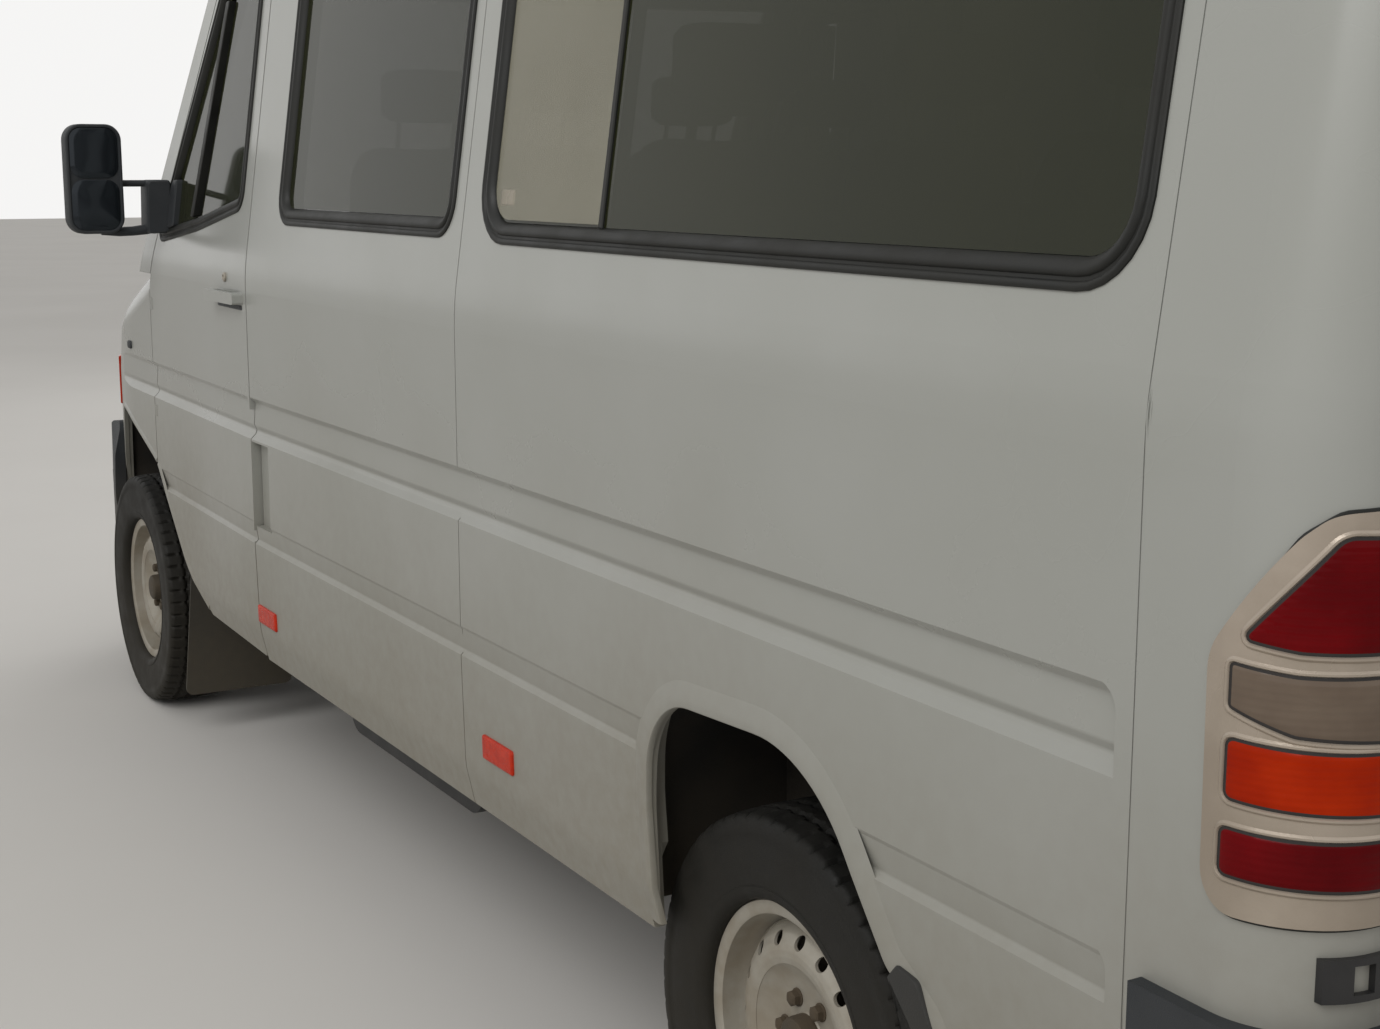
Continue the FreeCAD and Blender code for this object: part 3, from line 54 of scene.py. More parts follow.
# %% Camera
PICTURE_WIDTH, FOCAL_PIXELS, SENSOR = 1380, 1962.0, 36.0
EYE, TURN, TILT = (-3.934, 2.295, 1.571), math.radians(-29.517), math.radians(-10.026)
looking = Vector((math.cos(TILT) * math.cos(TURN), math.cos(TILT) * math.sin(TURN), math.sin(TILT)))
camera = bpy.data.objects.new("camera", bpy.data.cameras.new("camera"))
bpy.context.scene.collection.objects.link(camera)
camera.location = EYE
camera.rotation_euler = looking.to_track_quat("-Z", "Y").to_euler()
camera.data.sensor_fit = "HORIZONTAL"
camera.data.sensor_width = SENSOR
camera.data.lens = FOCAL_PIXELS / PICTURE_WIDTH * SENSOR
camera.data.clip_end = 200.0
bpy.context.scene.camera = camera
print("lens:", round(camera.data.lens, 2), "mm")

# %% [markdown]
# ## Nodes for materials
# A material is a small graph. A few helpers keep the graphs short to write: one adds a block and wires it,
# the others make soft clouds of noise, turn a range of values into a 0 to 1 mask, and mix two colours.

# %% Blocks, places and clouds
def block(tree, kind, wires=None, **settings):
    """Adds one node; wires maps its inputs to plain values or to other nodes' outputs."""
    made = tree.nodes.new("ShaderNode" + kind)
    for key, value in settings.items():
        setattr(made, key, value)
    for key, value in (wires or {}).items():
        if isinstance(value, bpy.types.NodeSocket):
            tree.links.new(value, made.inputs[key])
        else:
            made.inputs[key].default_value = value
    return made


def place(tree):
    """Object coordinates: every object's origin is the frame's, so this is the place on the vehicle in metres."""
    return block(tree, "TexCoord").outputs["Object"]


def height_of(tree):
    """Height above the ground in metres."""
    return block(tree, "SeparateXYZ", {0: place(tree)}).outputs[2]


def clouds(tree, scale, detail=4.0):
    """Soft noise around 0.5, with scale blobs to the metre."""
    wires = {"Vector": place(tree), "Scale": scale, "Detail": detail, "Roughness": 0.55}
    return block(tree, "TexNoise", wires).outputs[0]


print("inputs:", ", ".join(maker.__name__ for maker in (place, height_of, clouds)))

# %% Masks, sums and colours
def mask(tree, value, low, high):
    """Smooth step: 0 where value is at low, 1 where it is at high, and an S curve between."""
    wires = {"Value": value, 1: low, 2: high}
    return block(tree, "MapRange", wires, interpolation_type="SMOOTHSTEP").outputs[0]


def maths(tree, what, a, b=0.0):
    """One arithmetic step on two numbers."""
    return block(tree, "Math", {0: a, 1: b}, operation=what).outputs[0]


def tint(tree, amount, a, b):
    """Colour a where amount is 0 and colour b where it is 1."""
    wires = {0: amount}
    for socket, colour in ((6, a), (7, b)):
        wires[socket] = colour if isinstance(colour, bpy.types.NodeSocket) else (*colour, 1.0)
    return block(tree, "Mix", wires, data_type="RGBA").outputs[2]


def bumped(tree, height, strength, distance):
    """Lets a height pattern tilt the shader's normals; distance is the pattern's full depth in metres."""
    dents = block(tree, "Bump", {"Height": height, "Strength": strength, "Distance": distance})
    tree.links.new(dents.outputs[0], tree.nodes["Principled BSDF"].inputs["Normal"])


def srgb(red, green, blue):
    """Screen colour in 0 to 255 as the linear numbers that a shader takes."""
    return tuple(((c / 255 + 0.055) / 1.055) ** 2.4 if c > 10 else c / 255 / 12.92 for c in (red, green, blue))


ROAD_DUST = srgb(106, 95, 74)
print("road dust in linear numbers:", [round(c, 3) for c in ROAD_DUST])

# %% [markdown]
# ## One recipe for most finishes
# Nearly every surface here is two close tones in soft patches, a roughness that follows the patches, a fine
# bump, and road dust that thins out with height. It could be painted on as pictures, but then every piece
# would need its own flat layout. So one function makes them all, and each finish is a row of numbers. Values
# that are the same everywhere go straight on the shader's own sockets.

# %% The finish recipe
PATCH_LOW, PATCH_HIGH = 0.3, 0.7
SOCKETS = {"metallic": "Metallic", "specular": "Specular IOR Level", "alpha": "Alpha"}


def dust_film(tree, amount, top):
    """Share of dust: amount low down, fading out about top; broad clouds make the edge wander and fine specks
    thin the film by up to a fifth."""
    wander = maths(tree, "MULTIPLY", clouds(tree, 1.3, 2.0), top * 0.6)
    wavy = maths(tree, "ADD", height_of(tree), wander)
    film = maths(tree, "MULTIPLY", mask(tree, wavy, top * 1.8, top * 0.6), amount)
    specks = maths(tree, "MULTIPLY", mask(tree, clouds(tree, 38.0, 5.0), 0.2, 0.8), 0.22)
    return maths(tree, "MULTIPLY", film, maths(tree, "ADD", specks, 0.8))


def finish(name, tones, rough, patch, bump=None, dust=None, **sockets):
    """Two screen tones in patches, patch of them to the metre, with a roughness between the two of rough;
    bump is (grains to the metre, strength) and dust is (amount, top height)."""
    material = bpy.data.materials.new(name)
    material.use_nodes = True
    tree = material.node_tree
    shader = tree.nodes["Principled BSDF"]
    patches = clouds(tree, patch)
    colour = tint(tree, mask(tree, patches, PATCH_LOW, PATCH_HIGH), *(srgb(*tone) for tone in tones))
    wires = {"Value": patches, 1: PATCH_LOW, 2: PATCH_HIGH, 3: rough[0], 4: rough[1]}
    gloss = block(tree, "MapRange", wires).outputs[0]
    if dust:
        film = dust_film(tree, *dust)
        colour = tint(tree, film, colour, ROAD_DUST)
        gloss = maths(tree, "ADD", gloss, maths(tree, "MULTIPLY", film, 0.45))
    tree.links.new(colour, shader.inputs["Base Color"])
    tree.links.new(gloss, shader.inputs["Roughness"])
    if bump:
        bumped(tree, clouds(tree, bump[0], 3.0), bump[1], 0.002)
    for socket, value in sockets.items():
        shader.inputs[SOCKETS[socket]].default_value = value
    return material


def wear(material, node_names):
    """Gives frame nodes their finish by their own material slots."""
    for node_name in node_names:
        slots = nodes[node_name].data.materials
        for i in range(len(slots)):
            slots[i] = material
        if not slots:
            slots.append(material)


print("values a finish can set by name:", ", ".join(SOCKETS))

# %% [markdown]
# ## Paint
# The body is light grey-white paint that has seen dirt roads: clean and glossy under the windows, duller and
# browner towards the sills. The hidden metal is black underseal, the axles are dull iron.

# %% Metal finishes
PAINT_GLOSS = (0.20, 0.30)
paint = finish("body_paint", ((156, 157, 152), (151, 152, 146)), PAINT_GLOSS, patch=1.6, bump=(420.0, 0.02),
               dust=(0.66, 0.88))
underseal = finish("underseal", ((34, 33, 31), (52, 47, 41)), (0.75, 0.95), patch=9.0, bump=(160.0, 0.5),
                   dust=(0.5, 0.5))
iron = finish("dull_iron", ((52, 48, 44), (74, 62, 50)), (0.55, 0.8), patch=14.0, bump=(220.0, 0.4),
              dust=(0.4, 0.5), metallic=0.4)
wheel_steel = finish("wheel_steel", ((172, 168, 158), (150, 142, 128)), (0.34, 0.5), patch=11.0,
                     bump=(260.0, 0.12), dust=(0.4, 0.55), metallic=0.25)
black_metal = finish("black_metal", ((24, 24, 25), (33, 32, 32)), (0.35, 0.5), patch=20.0, bump=(300.0, 0.1))
exhaust_steel = finish("exhaust_steel", ((120, 108, 96), (84, 66, 50)), (0.4, 0.7), patch=12.0,
                       bump=(240.0, 0.3), metallic=0.8)
wear(paint, ["side_panel_left", "side_panel_right", "sliding_door", "roof", "windscreen_frame", "front_wings",
             "front_panel", "bonnet", "front_door_left", "front_door_right", "rear_frame", "rear_door_left",
             "rear_door_right"])
wear(underseal, ["floor", "wheel_houses", "front_subframe", "bulkhead"])
wear(iron, ["rear_axle", "engine", "knuckle_left", "knuckle_right", "track_rod"])
wear(exhaust_steel, ["exhaust"])
wear(black_metal, ["rear_hinges"])
print("paint roughness from", PAINT_GLOSS[0], "to", PAINT_GLOSS[1])

# %% [markdown]
# ## Plastic, rubber and glass
# Bumpers and mirrors are grained dark plastic that has greyed in the sun. Seals are soft black rubber. Window
# glass is thin, so it is mixed by Alpha rather than by refraction: light passes straight through and the
# seats behind stay visible, while the shader's own gloss still mirrors the surroundings.

# %% Plastic, rubber and glass finishes
grained = finish("grained_plastic", ((38, 41, 44), (48, 50, 52)), (0.5, 0.68), patch=7.0, bump=(900.0, 0.35),
                 dust=(0.5, 0.5), specular=0.35)
cab_plastic = finish("cab_plastic", ((66, 68, 70), (74, 75, 76)), (0.55, 0.7), patch=8.0, bump=(700.0, 0.3))
rubber = finish("seal_rubber", ((22, 23, 21), (31, 31, 28)), (0.42, 0.62), patch=9.0, bump=(500.0, 0.1),
                specular=0.3)
flap_rubber = finish("flap_rubber", ((30, 30, 28), (40, 39, 36)), (0.6, 0.8), patch=12.0, bump=(300.0, 0.25),
                     dust=(0.3, 0.45))
tyre_rubber = finish("tyre_rubber", ((17, 17, 15), (26, 25, 22)), (0.55, 0.8), patch=16.0, bump=(420.0, 0.25),
                     dust=(0.08, 0.5), specular=0.25)
# The fuel tank is near black with no dust, as painted shadow, so that it reads as the shade under the body.
tank_plastic = finish("tank_plastic", ((22, 22, 22), (30, 30, 30)), (0.5, 0.7), patch=10.0, bump=(300.0, 0.2))
# The side glass's olive tone is partly its own tint and partly painted reflection of the surroundings.
tint_and_reflection = finish("tinted_glass", ((41, 43, 24), (34, 37, 20)), (0.03, 0.06), patch=1.2, alpha=0.85,
                specular=0.25)
clear_glass = finish("clear_glass", ((96, 108, 100), (90, 102, 95)), (0.02, 0.04), patch=1.2, alpha=0.28)
lamp_lens = finish("lamp_lens", ((190, 196, 198), (176, 182, 184)), (0.05, 0.1), patch=6.0, alpha=0.45)
seat_cloth = finish("seat_cloth", ((62, 72, 92), (50, 58, 78)), (0.85, 0.95), patch=30.0, bump=(900.0, 0.5))
wear(grained, ["front_bumper", "rear_bumper", "grille", "door_trim_left", "door_trim_right"])
wear(cab_plastic, ["dashboard", "steering_wheel"])
wear(rubber, ["side_window_seals", "rear_door_seal_left", "rear_door_seal_right"])
wear(flap_rubber, ["mud_flaps"])
wear(tyre_rubber, ["tyre_front_left", "tyre_front_right", "tyre_rear_left", "tyre_rear_right", "spare_wheel"])
wear(wheel_steel, ["wheel_front_left", "wheel_front_right", "wheel_rear_left", "wheel_rear_right"])
wear(tank_plastic, ["fuel_tank"])
wear(tint_and_reflection, ["side_glass", "door_glass_left", "door_glass_right", "rear_door_glass_left",
              "rear_door_glass_right"])
wear(clear_glass, ["windscreen_glass"])
wear(lamp_lens, ["headlamps"])
wear(seat_cloth, ["seats"])
print("materials so far:", len(bpy.data.materials))

# %% [markdown]
# ## Shapes as arrays
# Most pieces here lie on the body: lamps, seals, handles, reflectors. So a piece is drawn flat, as an outline
# in two numbers, and a surface function carries every drawn point on to the body. An outline could be a
# curve object with a bevel, but arrays keep every number in the same frame as the drawing.

# %% Outlines
ARC_POINTS = 14


def unit_rows(vectors):
    """Rows scaled to a length of one."""
    return vectors / np.linalg.norm(vectors, axis=1, keepdims=True)


def rounded(corners, count=96):
    """Closed outline: every corner (a, b, radius) becomes an arc about a centre on the corner's bisector, at
    radius / sin(half the angle), and then count points are spread evenly along the whole."""
    table = np.array(corners, float)
    here, radius = table[:, :2], table[:, 2:]
    back, ahead = unit_rows(np.roll(here, 1, 0) - here), unit_rows(np.roll(here, -1, 0) - here)
    half = np.arccos(np.clip((back * ahead).sum(1, keepdims=True), -0.9999, 0.9999)) / 2
    centre = here + unit_rows(back + ahead) * radius / np.sin(half)
    start, end = (here + way * radius / np.tan(half) - centre for way in (back, ahead))
    turn, t = math.pi - 2 * half, np.linspace(0, 1, ARC_POINTS)
    from_start, from_end = ((np.sin(share * turn) / np.sin(turn))[..., None] for share in (1 - t, t))
    dense = (centre[:, None] + start[:, None] * from_start + end[:, None] * from_end).reshape(-1, 2)
    beyond = np.roll(dense, -1, 0)
    if (dense[:, 0] * beyond[:, 1] - dense[:, 1] * beyond[:, 0]).sum() < 0:
        dense = dense[::-1]
    closed = np.vstack([dense, dense[:1]])
    run = np.concatenate([[0], np.cumsum(np.linalg.norm(np.diff(closed, axis=0), axis=1))])
    at = np.linspace(0, run[-1], count, endpoint=False)
    return np.column_stack([np.interp(at, run, closed[:, i]) for i in (0, 1)])


def rectangle(a0, a1, b0, b1, radius):
    """Corners of an upright rectangle that all have the same radius."""
    return [(a0, b0, radius), (a1, b0, radius), (a1, b1, radius), (a0, b1, radius)]


def inward(outline, amount):
    """Outline moved inwards: each point goes square to the line between its two neighbours."""
    chord = unit_rows(np.roll(outline, -1, 0) - np.roll(outline, 1, 0))
    return outline + np.column_stack([-chord[:, 1], chord[:, 0]]) * amount


print("a rounded square as an array:", rounded(rectangle(0, 1, 0, 1, 0.1)).shape)

# %% [markdown]
# ## From arrays to pieces
# A grid of points becomes a mesh by joining each point to its neighbours. Which way the faces look is
# checked by the volume that they enclose: it is negative when they look inwards, and then they are turned.

# %% Faces of grids
def grid_faces(rows, columns, close_rows=False):
    """Quads of a grid whose columns close into rings; rows close too where close_rows is set."""
    i = np.arange(rows if close_rows else rows - 1)[:, None]
    j = np.arange(columns)[None, :]
    up, side = (i + 1) % rows, (j + 1) % columns
    corners = [i * columns + j, i * columns + side, up * columns + side, up * columns + j]
    return np.stack(corners, -1).reshape(-1, 4)


def capped(rings, first, last):
    """Stack of rings, shape (rows, columns, 3), whose first and last ring each close to a point with a fan."""
    rows, columns = rings.shape[:2]
    total = rows * columns
    j, top = np.arange(columns), total - columns
    side = (j + 1) % columns
    near_fan = np.stack([np.full(columns, total), side, j, j], -1)
    far_fan = np.stack([np.full(columns, total + 1), top + j, top + side, top + side], -1)
    return np.vstack([rings.reshape(-1, 3), first, last]), np.vstack([grid_faces(rows, columns), near_fan, far_fan])


def volume(points, faces):
    """Signed volume: the sum over faces of corner dot (corner cross corner) / 6, each quad as two triangles."""
    triangles = np.vstack([faces[:, [0, 1, 2]], faces[:, [0, 2, 3]]])
    a, b, c = (points[triangles[:, i]] for i in range(3))
    return (a * np.cross(b, c)).sum() / 6


print("quads of a closed 4 by 6 grid:", len(grid_faces(4, 6, True)))

# %% Pieces
WELD, SHARP_EDGE = 1e-6, math.radians(38)


def piece(name, parts, material, body, instead=()):
    """One object from (points, faces) parts: faces turned outwards, finish given, riding on its body."""
    points, faces, base = [], [], 0
    for p, f in parts:
        p, f = np.asarray(p, float).reshape(-1, 3), np.asarray(f)
        faces.append((f[:, ::-1] if volume(p - p.mean(0), f) < 0 else f) + base)
        points.append(p)
        base += len(p)
    faces = np.vstack(faces).tolist()
    mesh = bpy.data.meshes.new(name)
    mesh.from_pydata(np.vstack(points).tolist(), [], [list(dict.fromkeys(f)) for f in faces])
    closed = bmesh.new()
    closed.from_mesh(mesh)
    bmesh.ops.remove_doubles(closed, verts=closed.verts, dist=WELD)
    closed.to_mesh(mesh)
    closed.free()
    mesh.shade_smooth()
    mesh.set_sharp_from_angle(angle=SHARP_EDGE)
    mesh.materials.append(material)
    made = bpy.data.objects.new(name, mesh)
    bpy.context.scene.collection.objects.link(made)
    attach(made, body)
    if instead:
        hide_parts(*instead)
    return made


def other_side(parts):
    """The same parts on the vehicle's right: y changes sign, and piece() turns the faces outwards again."""
    return [(np.asarray(p) * (1, -1, 1), np.asarray(f)) for p, f in parts]


def both_sides(name, parts, material, instead=()):
    """One piece on the body that holds the parts on the left and their mirror images on the right."""
    return piece(name, parts + other_side(parts), material, "body", instead)


SIDES = (("left", list), ("right", other_side))
print("points nearer than", WELD, "m become one")

# %% [markdown]
# ## Two ways to use an outline
# A band carries a small closed section round the outline, as a rubber seal is extruded and then bent into
# its frame. A pad stacks rings that start at the outline and closes both ends, as a lens or handle is moulded.

# %% Bands and pads
def band(outline, section, surface):
    """Closed section of (inset, rise) points carried round the outline: each point of the section is a ring,
    surface(outline moved in by inset, rise)."""
    rings = [surface(*inward(outline, inset).T, np.full(len(outline), rise)) for inset, rise in section]
    return np.stack(rings), grid_faces(len(section), len(outline), True)


def pad(outline, rings, surface, crown=0.0, steps=4):
    """Solid of (inset, rise) rings whose ends shrink to the outline's middle in steps; t being how far a ring has
    yet to shrink, the last end is lifted by crown (1 - t squared)."""
    inner, outer = inward(outline, rings[0][0]), inward(outline, rings[-1][0])
    under, over = rings[0][1], rings[-1][1]
    heart = outline.mean(0)
    shrink = np.linspace(1, 0, steps + 1)[1:-1]
    flat = [heart + (inner - heart) * t for t in shrink[::-1]] + [inward(outline, inset) for inset, _ in rings]
    flat += [heart + (outer - heart) * t for t in shrink]
    rise = [under] * len(shrink) + [height for _, height in rings] + [over + crown * (1 - t * t) for t in shrink]
    levels = [surface(*f.T, np.full(len(f), height)) for f, height in zip(flat, rise)]
    ends = surface(np.repeat(heart[0], 2), np.repeat(heart[1], 2), np.array([under, over + crown]))
    return capped(np.stack(levels), *ends)


print("outline tools:", band.__name__, "and", pad.__name__)

# %% [markdown]
# ## Surfaces of the body
# The side has the section of the drawing: upright to the waist, then leaning in, and from the pillar forward
# it closes in with the cab, more so ahead of the doors. The rear corner is a quarter of a cylinder between the
# side and the rear face. A modifier could shrink flat pieces on to the body's mesh, but a formula is exact and
# also says which way is out.

# %% Surface functions
HALF_WIDTH, WAIST, RAIL, LEAN = 0.966, 1.335, 2.075, 0.1405
SECTION_Z = [0.43, 0.505, 0.70, WAIST, RAIL]
SECTION_Y = [HALF_WIDTH - 0.022, HALF_WIDTH - 0.005, HALF_WIDTH, HALF_WIDTH, HALF_WIDTH - LEAN * (RAIL - WAIST)]
PILLAR, BEND_FROM, BEND_RUN = 0.470, 1.6795, 0.2285
TOE, TAPER = math.tan(math.radians(1.5)), math.tan(math.radians(12.5))
CORNER_X, CORNER_Y, CORNER_R, CORNER_RUN = -2.615, 0.861, 0.105, 0.037
REAR_FACE = -2.720


def plan_inset(x):
    """How far the side has closed in at x: the toe-in from the pillar, then a curve of bend squared / twice its
    run that turns the toe-in to the taper, and the taper beyond it."""
    bend, beyond = np.clip(x - BEND_FROM, 0, BEND_RUN), np.maximum(x - BEND_FROM - BEND_RUN, 0)
    return np.maximum(x - PILLAR, 0) * TOE + (bend ** 2 / (2 * BEND_RUN) + beyond) * (TAPER - TOE)


def flank(x, z, rise):
    """Left side at (x, z): y is the section at height z, less the closing-in at x, plus the rise."""
    return np.stack([x, np.interp(z, SECTION_Z, SECTION_Y) - plan_inset(x) + rise, z], -1)


def corner(s, z, rise):
    """Rear left corner unrolled: s runs back along the side for CORNER_RUN, round the arc by length / radius,
    and then across the rear."""
    arc = s - CORNER_RUN
    around, reach = np.clip(arc / CORNER_R, 0, math.pi / 2), CORNER_R + rise
    before, after = np.maximum(-arc, 0), np.maximum(arc - CORNER_R * math.pi / 2, 0)
    return np.stack([CORNER_X + before - reach * np.sin(around), CORNER_Y - after + reach * np.cos(around), z], -1)


def rear(y, z, rise):
    """Rear face: y and z as they are, x behind the face by the rise."""
    return np.stack([REAR_FACE - rise, y, z], -1)


print("side at the waist:", np.round(flank(np.array(0.0), np.array(1.2), 0.0), 3))

# %% [markdown]
# ## Rear lamps
# Each lamp is a satin frame wrapped round the rear corner, with four windows: a tall red one under the
# slanted top, a clear one, an orange one and a low red one. One moulding with painted fields would be quicker,
# but the real lenses are separate and catch the light apart. So the drawing's lamp is the frame, and each
# window is a domed lens in a near-black ring of painted shade for the recess, inside a raised rim, which makes
# it look set back.

# %% Lens and frame finishes
RIBS = 130.0
lamp_frame = finish("lamp_frame", ((172, 160, 146), (152, 140, 126)), (0.2, 0.32), patch=7.0,
                    bump=(300.0, 0.1), dust=(0.25, 0.9), metallic=0.35)
# The near-black ring round each lens is painted shade of the recess between lens and frame.
recess_shade = finish("lamp_recess_shade", ((24, 21, 20), (34, 29, 26)), (0.5, 0.7), patch=30.0, bump=(400.0, 0.1))
red_lens = finish("red_lens", ((108, 4, 9), (80, 2, 6)), (0.12, 0.2), patch=6.0, specular=0.08)
clear_lens = finish("clear_lens", ((112, 98, 84), (94, 80, 68)), (0.12, 0.2), patch=8.0, specular=0.3)
orange_lens = finish("orange_lens", ((172, 42, 2), (140, 24, 1)), (0.12, 0.2), patch=7.0, specular=0.08)
for lens in (red_lens, clear_lens, orange_lens):
    tree = lens.node_tree
    flutes = maths(tree, "SINE", maths(tree, "MULTIPLY", height_of(tree), RIBS * 2 * math.pi))
    bumped(tree, flutes, 0.12, 0.001)
wear(lamp_frame, ["tail_lamps"])
print("moulded ribs in a lens:", round(1000 / RIBS, 1), "mm apart")

# %% Windows of the rear lamps
LAMP_WINDOWS = {
    "red_top": (red_lens, [(0.0555, 1.137, 0.007), (0.143, 1.243, 0.024), (0.221, 1.241, 0.014),
                           (0.221, 1.129, 0.012), (0.112, 1.130, 0.050)]),
    "clear": (clear_lens, [(0.047, 1.070, 0.006), (0.047, 1.116, 0.006), (0.110, 1.111, 0.050),
                           (0.221, 1.111, 0.010), (0.221, 1.043, 0.010), (0.110, 1.050, 0.030)]),
    "orange": (orange_lens, [(0.046, 0.980, 0.010), (0.046, 1.043, 0.010), (0.221, 1.036, 0.010),
                             (0.221, 0.972, 0.010)]),
    "red_low": (red_lens, [(0.043, 0.904, 0.010), (0.043, 0.955, 0.010), (0.221, 0.951, 0.010),
                           (0.221, 0.899, 0.010)]),
}
SEAT = 0.0062
LENS_RINGS = [(0.0035, 0.002), (0.0035, SEAT + 0.0002), (0.006, SEAT + 0.0012)]
# Rings of the painted shade ring round each lens.
RECESS_SHADE_RINGS = [(-0.0005, 0.003), (-0.0005, SEAT), (0.0012, SEAT + 0.0003)]
RIM_SECTION = [(-0.0055, SEAT - 0.003), (-0.0055, SEAT), (-0.003, SEAT + 0.0022), (-0.001, SEAT + 0.0022),
               (0.0005, SEAT), (0.0005, SEAT - 0.003)]
for window, (lens, corners) in LAMP_WINDOWS.items():
    outline = rounded(corners, 120)
    for kind, part, look in (("lens", pad(outline, LENS_RINGS, corner, 0.0006, 6), lens),
                             ("recess_shade", pad(outline, RECESS_SHADE_RINGS, corner, 0.0, 6), recess_shade),
                             ("rim", band(outline, RIM_SECTION, corner), lamp_frame)):
        both_sides(f"rear_lamp_{window}_{kind}", [part], look)
print("lens windows:", len(LAMP_WINDOWS), "on each side")

# %% Seam round the rear lamps
LAMP_EDGE = [(0.022, 0.866, 0.042), (0.0255, 1.120, 0.060), (0.109, 1.240, 0.040), (0.142, 1.262, 0.030),
             (0.235, 1.268, 0.006), (0.235, 0.866, 0.006)]
SEAM = [(-0.0035, -0.002), (-0.0035, 0.0015), (-0.001, 0.0024), (0.0008, 0.0024), (0.0008, -0.002)]
seam = band(rounded(LAMP_EDGE, 160), SEAM, corner)
both_sides("rear_lamp_seams", [seam], rubber)
print("seam faces round a lamp:", len(seam[1]))

# %% [markdown]
# ## Window rubbers
# The long side windows sit in wide rubber. Its face has two beads with a groove between them, and an inner
# slope down to the glass. A bevelled curve has the same section all the way too, but it can't lean with the
# side, so this is one section of sixteen points carried round each rounded opening, in place of the plain
# frame of the drawing. The sliding pane of the long window meets the fixed one at a dark upright.

# %% Side window rubbers
SIDE_WINDOWS = [rectangle(-0.700, 0.250, 1.462, 2.030, 0.055), rectangle(-2.450, -0.840, 1.459, 2.030, 0.085)]
RUBBER = [(-0.0140, -0.0010), (-0.0136, 0.0026), (-0.0110, 0.0044), (-0.0070, 0.0046), (-0.0045, 0.0030),
          (-0.0030, 0.0004), (0.0010, 0.0002), (0.0030, 0.0030), (0.0060, 0.0046), (0.0110, 0.0040),
          (0.0170, -0.0010), (0.0218, -0.0086), (0.0218, -0.0145), (0.0060, -0.0160), (0.0006, -0.0100),
          (-0.0100, -0.0012)]
rubbers = [band(rounded(corners, 220), RUBBER, flank) for corners in SIDE_WINDOWS]
both_sides("side_window_rubbers", rubbers, rubber, ["side_window_seals"])
print("rubber section:", len(RUBBER), "points")

# %% Rear window rubbers
rear_rubber = band(rounded(rectangle(0.095, 0.685, 1.462, 2.000, 0.060), 180), RUBBER, rear)
for side, turn in SIDES:
    piece(f"rear_window_rubber_{side}", turn([rear_rubber]), rubber, f"rear_door_{side}",
          [f"rear_door_seal_{side}"])
print("rear rubber points:", rear_rubber[0].shape)

# %% Bar, strip and catch of the long window
def bar_on(a0, a1, b0, b1, radius, rings, surface=flank, crown=0.0, count=80):
    """Rounded rectangle on a surface, as a pad with the given rings."""
    return pad(rounded(rectangle(a0, a1, b0, b1, radius), count), rings, surface, crown)


bar = bar_on(-1.272, -1.258, 1.478, 2.012, 0.002, [(0.0, -0.012), (0.0, -0.006), (0.002, -0.0045)], count=60)
both_sides("sliding_pane_bars", [bar], rubber)
strip = bar_on(-1.318, -1.276, 1.480, 2.010, 0.002, [(0.0, -0.0150), (0.0, -0.0142)], count=60)
both_sides("sliding_pane_strips", [strip], cab_plastic)
catch = bar_on(-0.940, -0.885, 1.508, 1.536, 0.004, [(0.0, -0.0150), (0.0, -0.0092), (0.003, -0.0070)], count=60)
both_sides("sliding_pane_catches", [catch], lamp_frame)
print("pane bar at x =", round(float(bar[0][:, 0].mean()), 3))

# %% [markdown]
# ## Tyres
# A van tyre here has four zigzag grooves round it, slots across both shoulders and a dusty sidewall with thin
# ribs. The grooves could be cut with booleans, slowly and with poor edges. Here the tyre is one closed profile
# turned about the axle, and the grooves are a depth taken off the radius as a function of the angle and of
# the place across the tread.

# %% Wheels' places
WHEEL_Y, AXLE_Z = 0.800, 0.340
AXLES = {"front": 1.830, "rear": -1.720}
WHEELS = [(end, side) for end in AXLES for side in ("left", "right")]


def on_wheel(parts, end, side):
    """Parts drawn about the axle's middle, carried to one wheel: y changes sign on the right, then the shift."""
    sign = 1 if side == "left" else -1
    shift = (AXLES[end], sign * WHEEL_Y, AXLE_Z)
    return [(np.asarray(p).reshape(-1, 3) * (1, sign, 1) + shift, f) for p, f in parts]


def full_turn(count):
    """Angles of count even steps round a circle."""
    return np.linspace(0, 2 * math.pi, count, endpoint=False)


def about_axle(radius, y, angle):
    """Surface of revolution: x = radius cos(angle), z = radius sin(angle), y as it is."""
    return np.stack([radius * np.cos(angle), np.broadcast_to(y, radius.shape), radius * np.sin(angle)], -1)


print("wheels:", WHEELS)

# %% Tyre
TREAD_HALF, CROWN_R, CROWN_DROP, TREAD_STATIONS = 0.098, 0.3385, 0.0060, 45
GROOVES, GROOVE_HALF, GROOVE_DEPTH = (-0.055, -0.019, 0.019, 0.055), 0.0052, 0.0075
BLOCKS, ZIGZAG, PATTERN_FROM_R = 60, 0.0035, 0.316
SLOT_FROM, SLOT_TO, SLOT_SHARE, SLOT_DEPTH = 0.072, 0.1045, 0.16, 0.0060
WALL = np.array([(0.1035, 0.3270), (0.1062, 0.3170), (0.1072, 0.3050), (0.1066, 0.3040), (0.1074, 0.2900),
                 (0.1074, 0.2700), (0.1062, 0.2500), (0.1030, 0.2300), (0.1044, 0.2290), (0.1030, 0.2220),
                 (0.0980, 0.2130), (0.0900, 0.2085), (0.0800, 0.2080), (0.0780, 0.1950)])
BORE = np.array([(0.0, 0.1945), (-0.0001, 0.1945)])


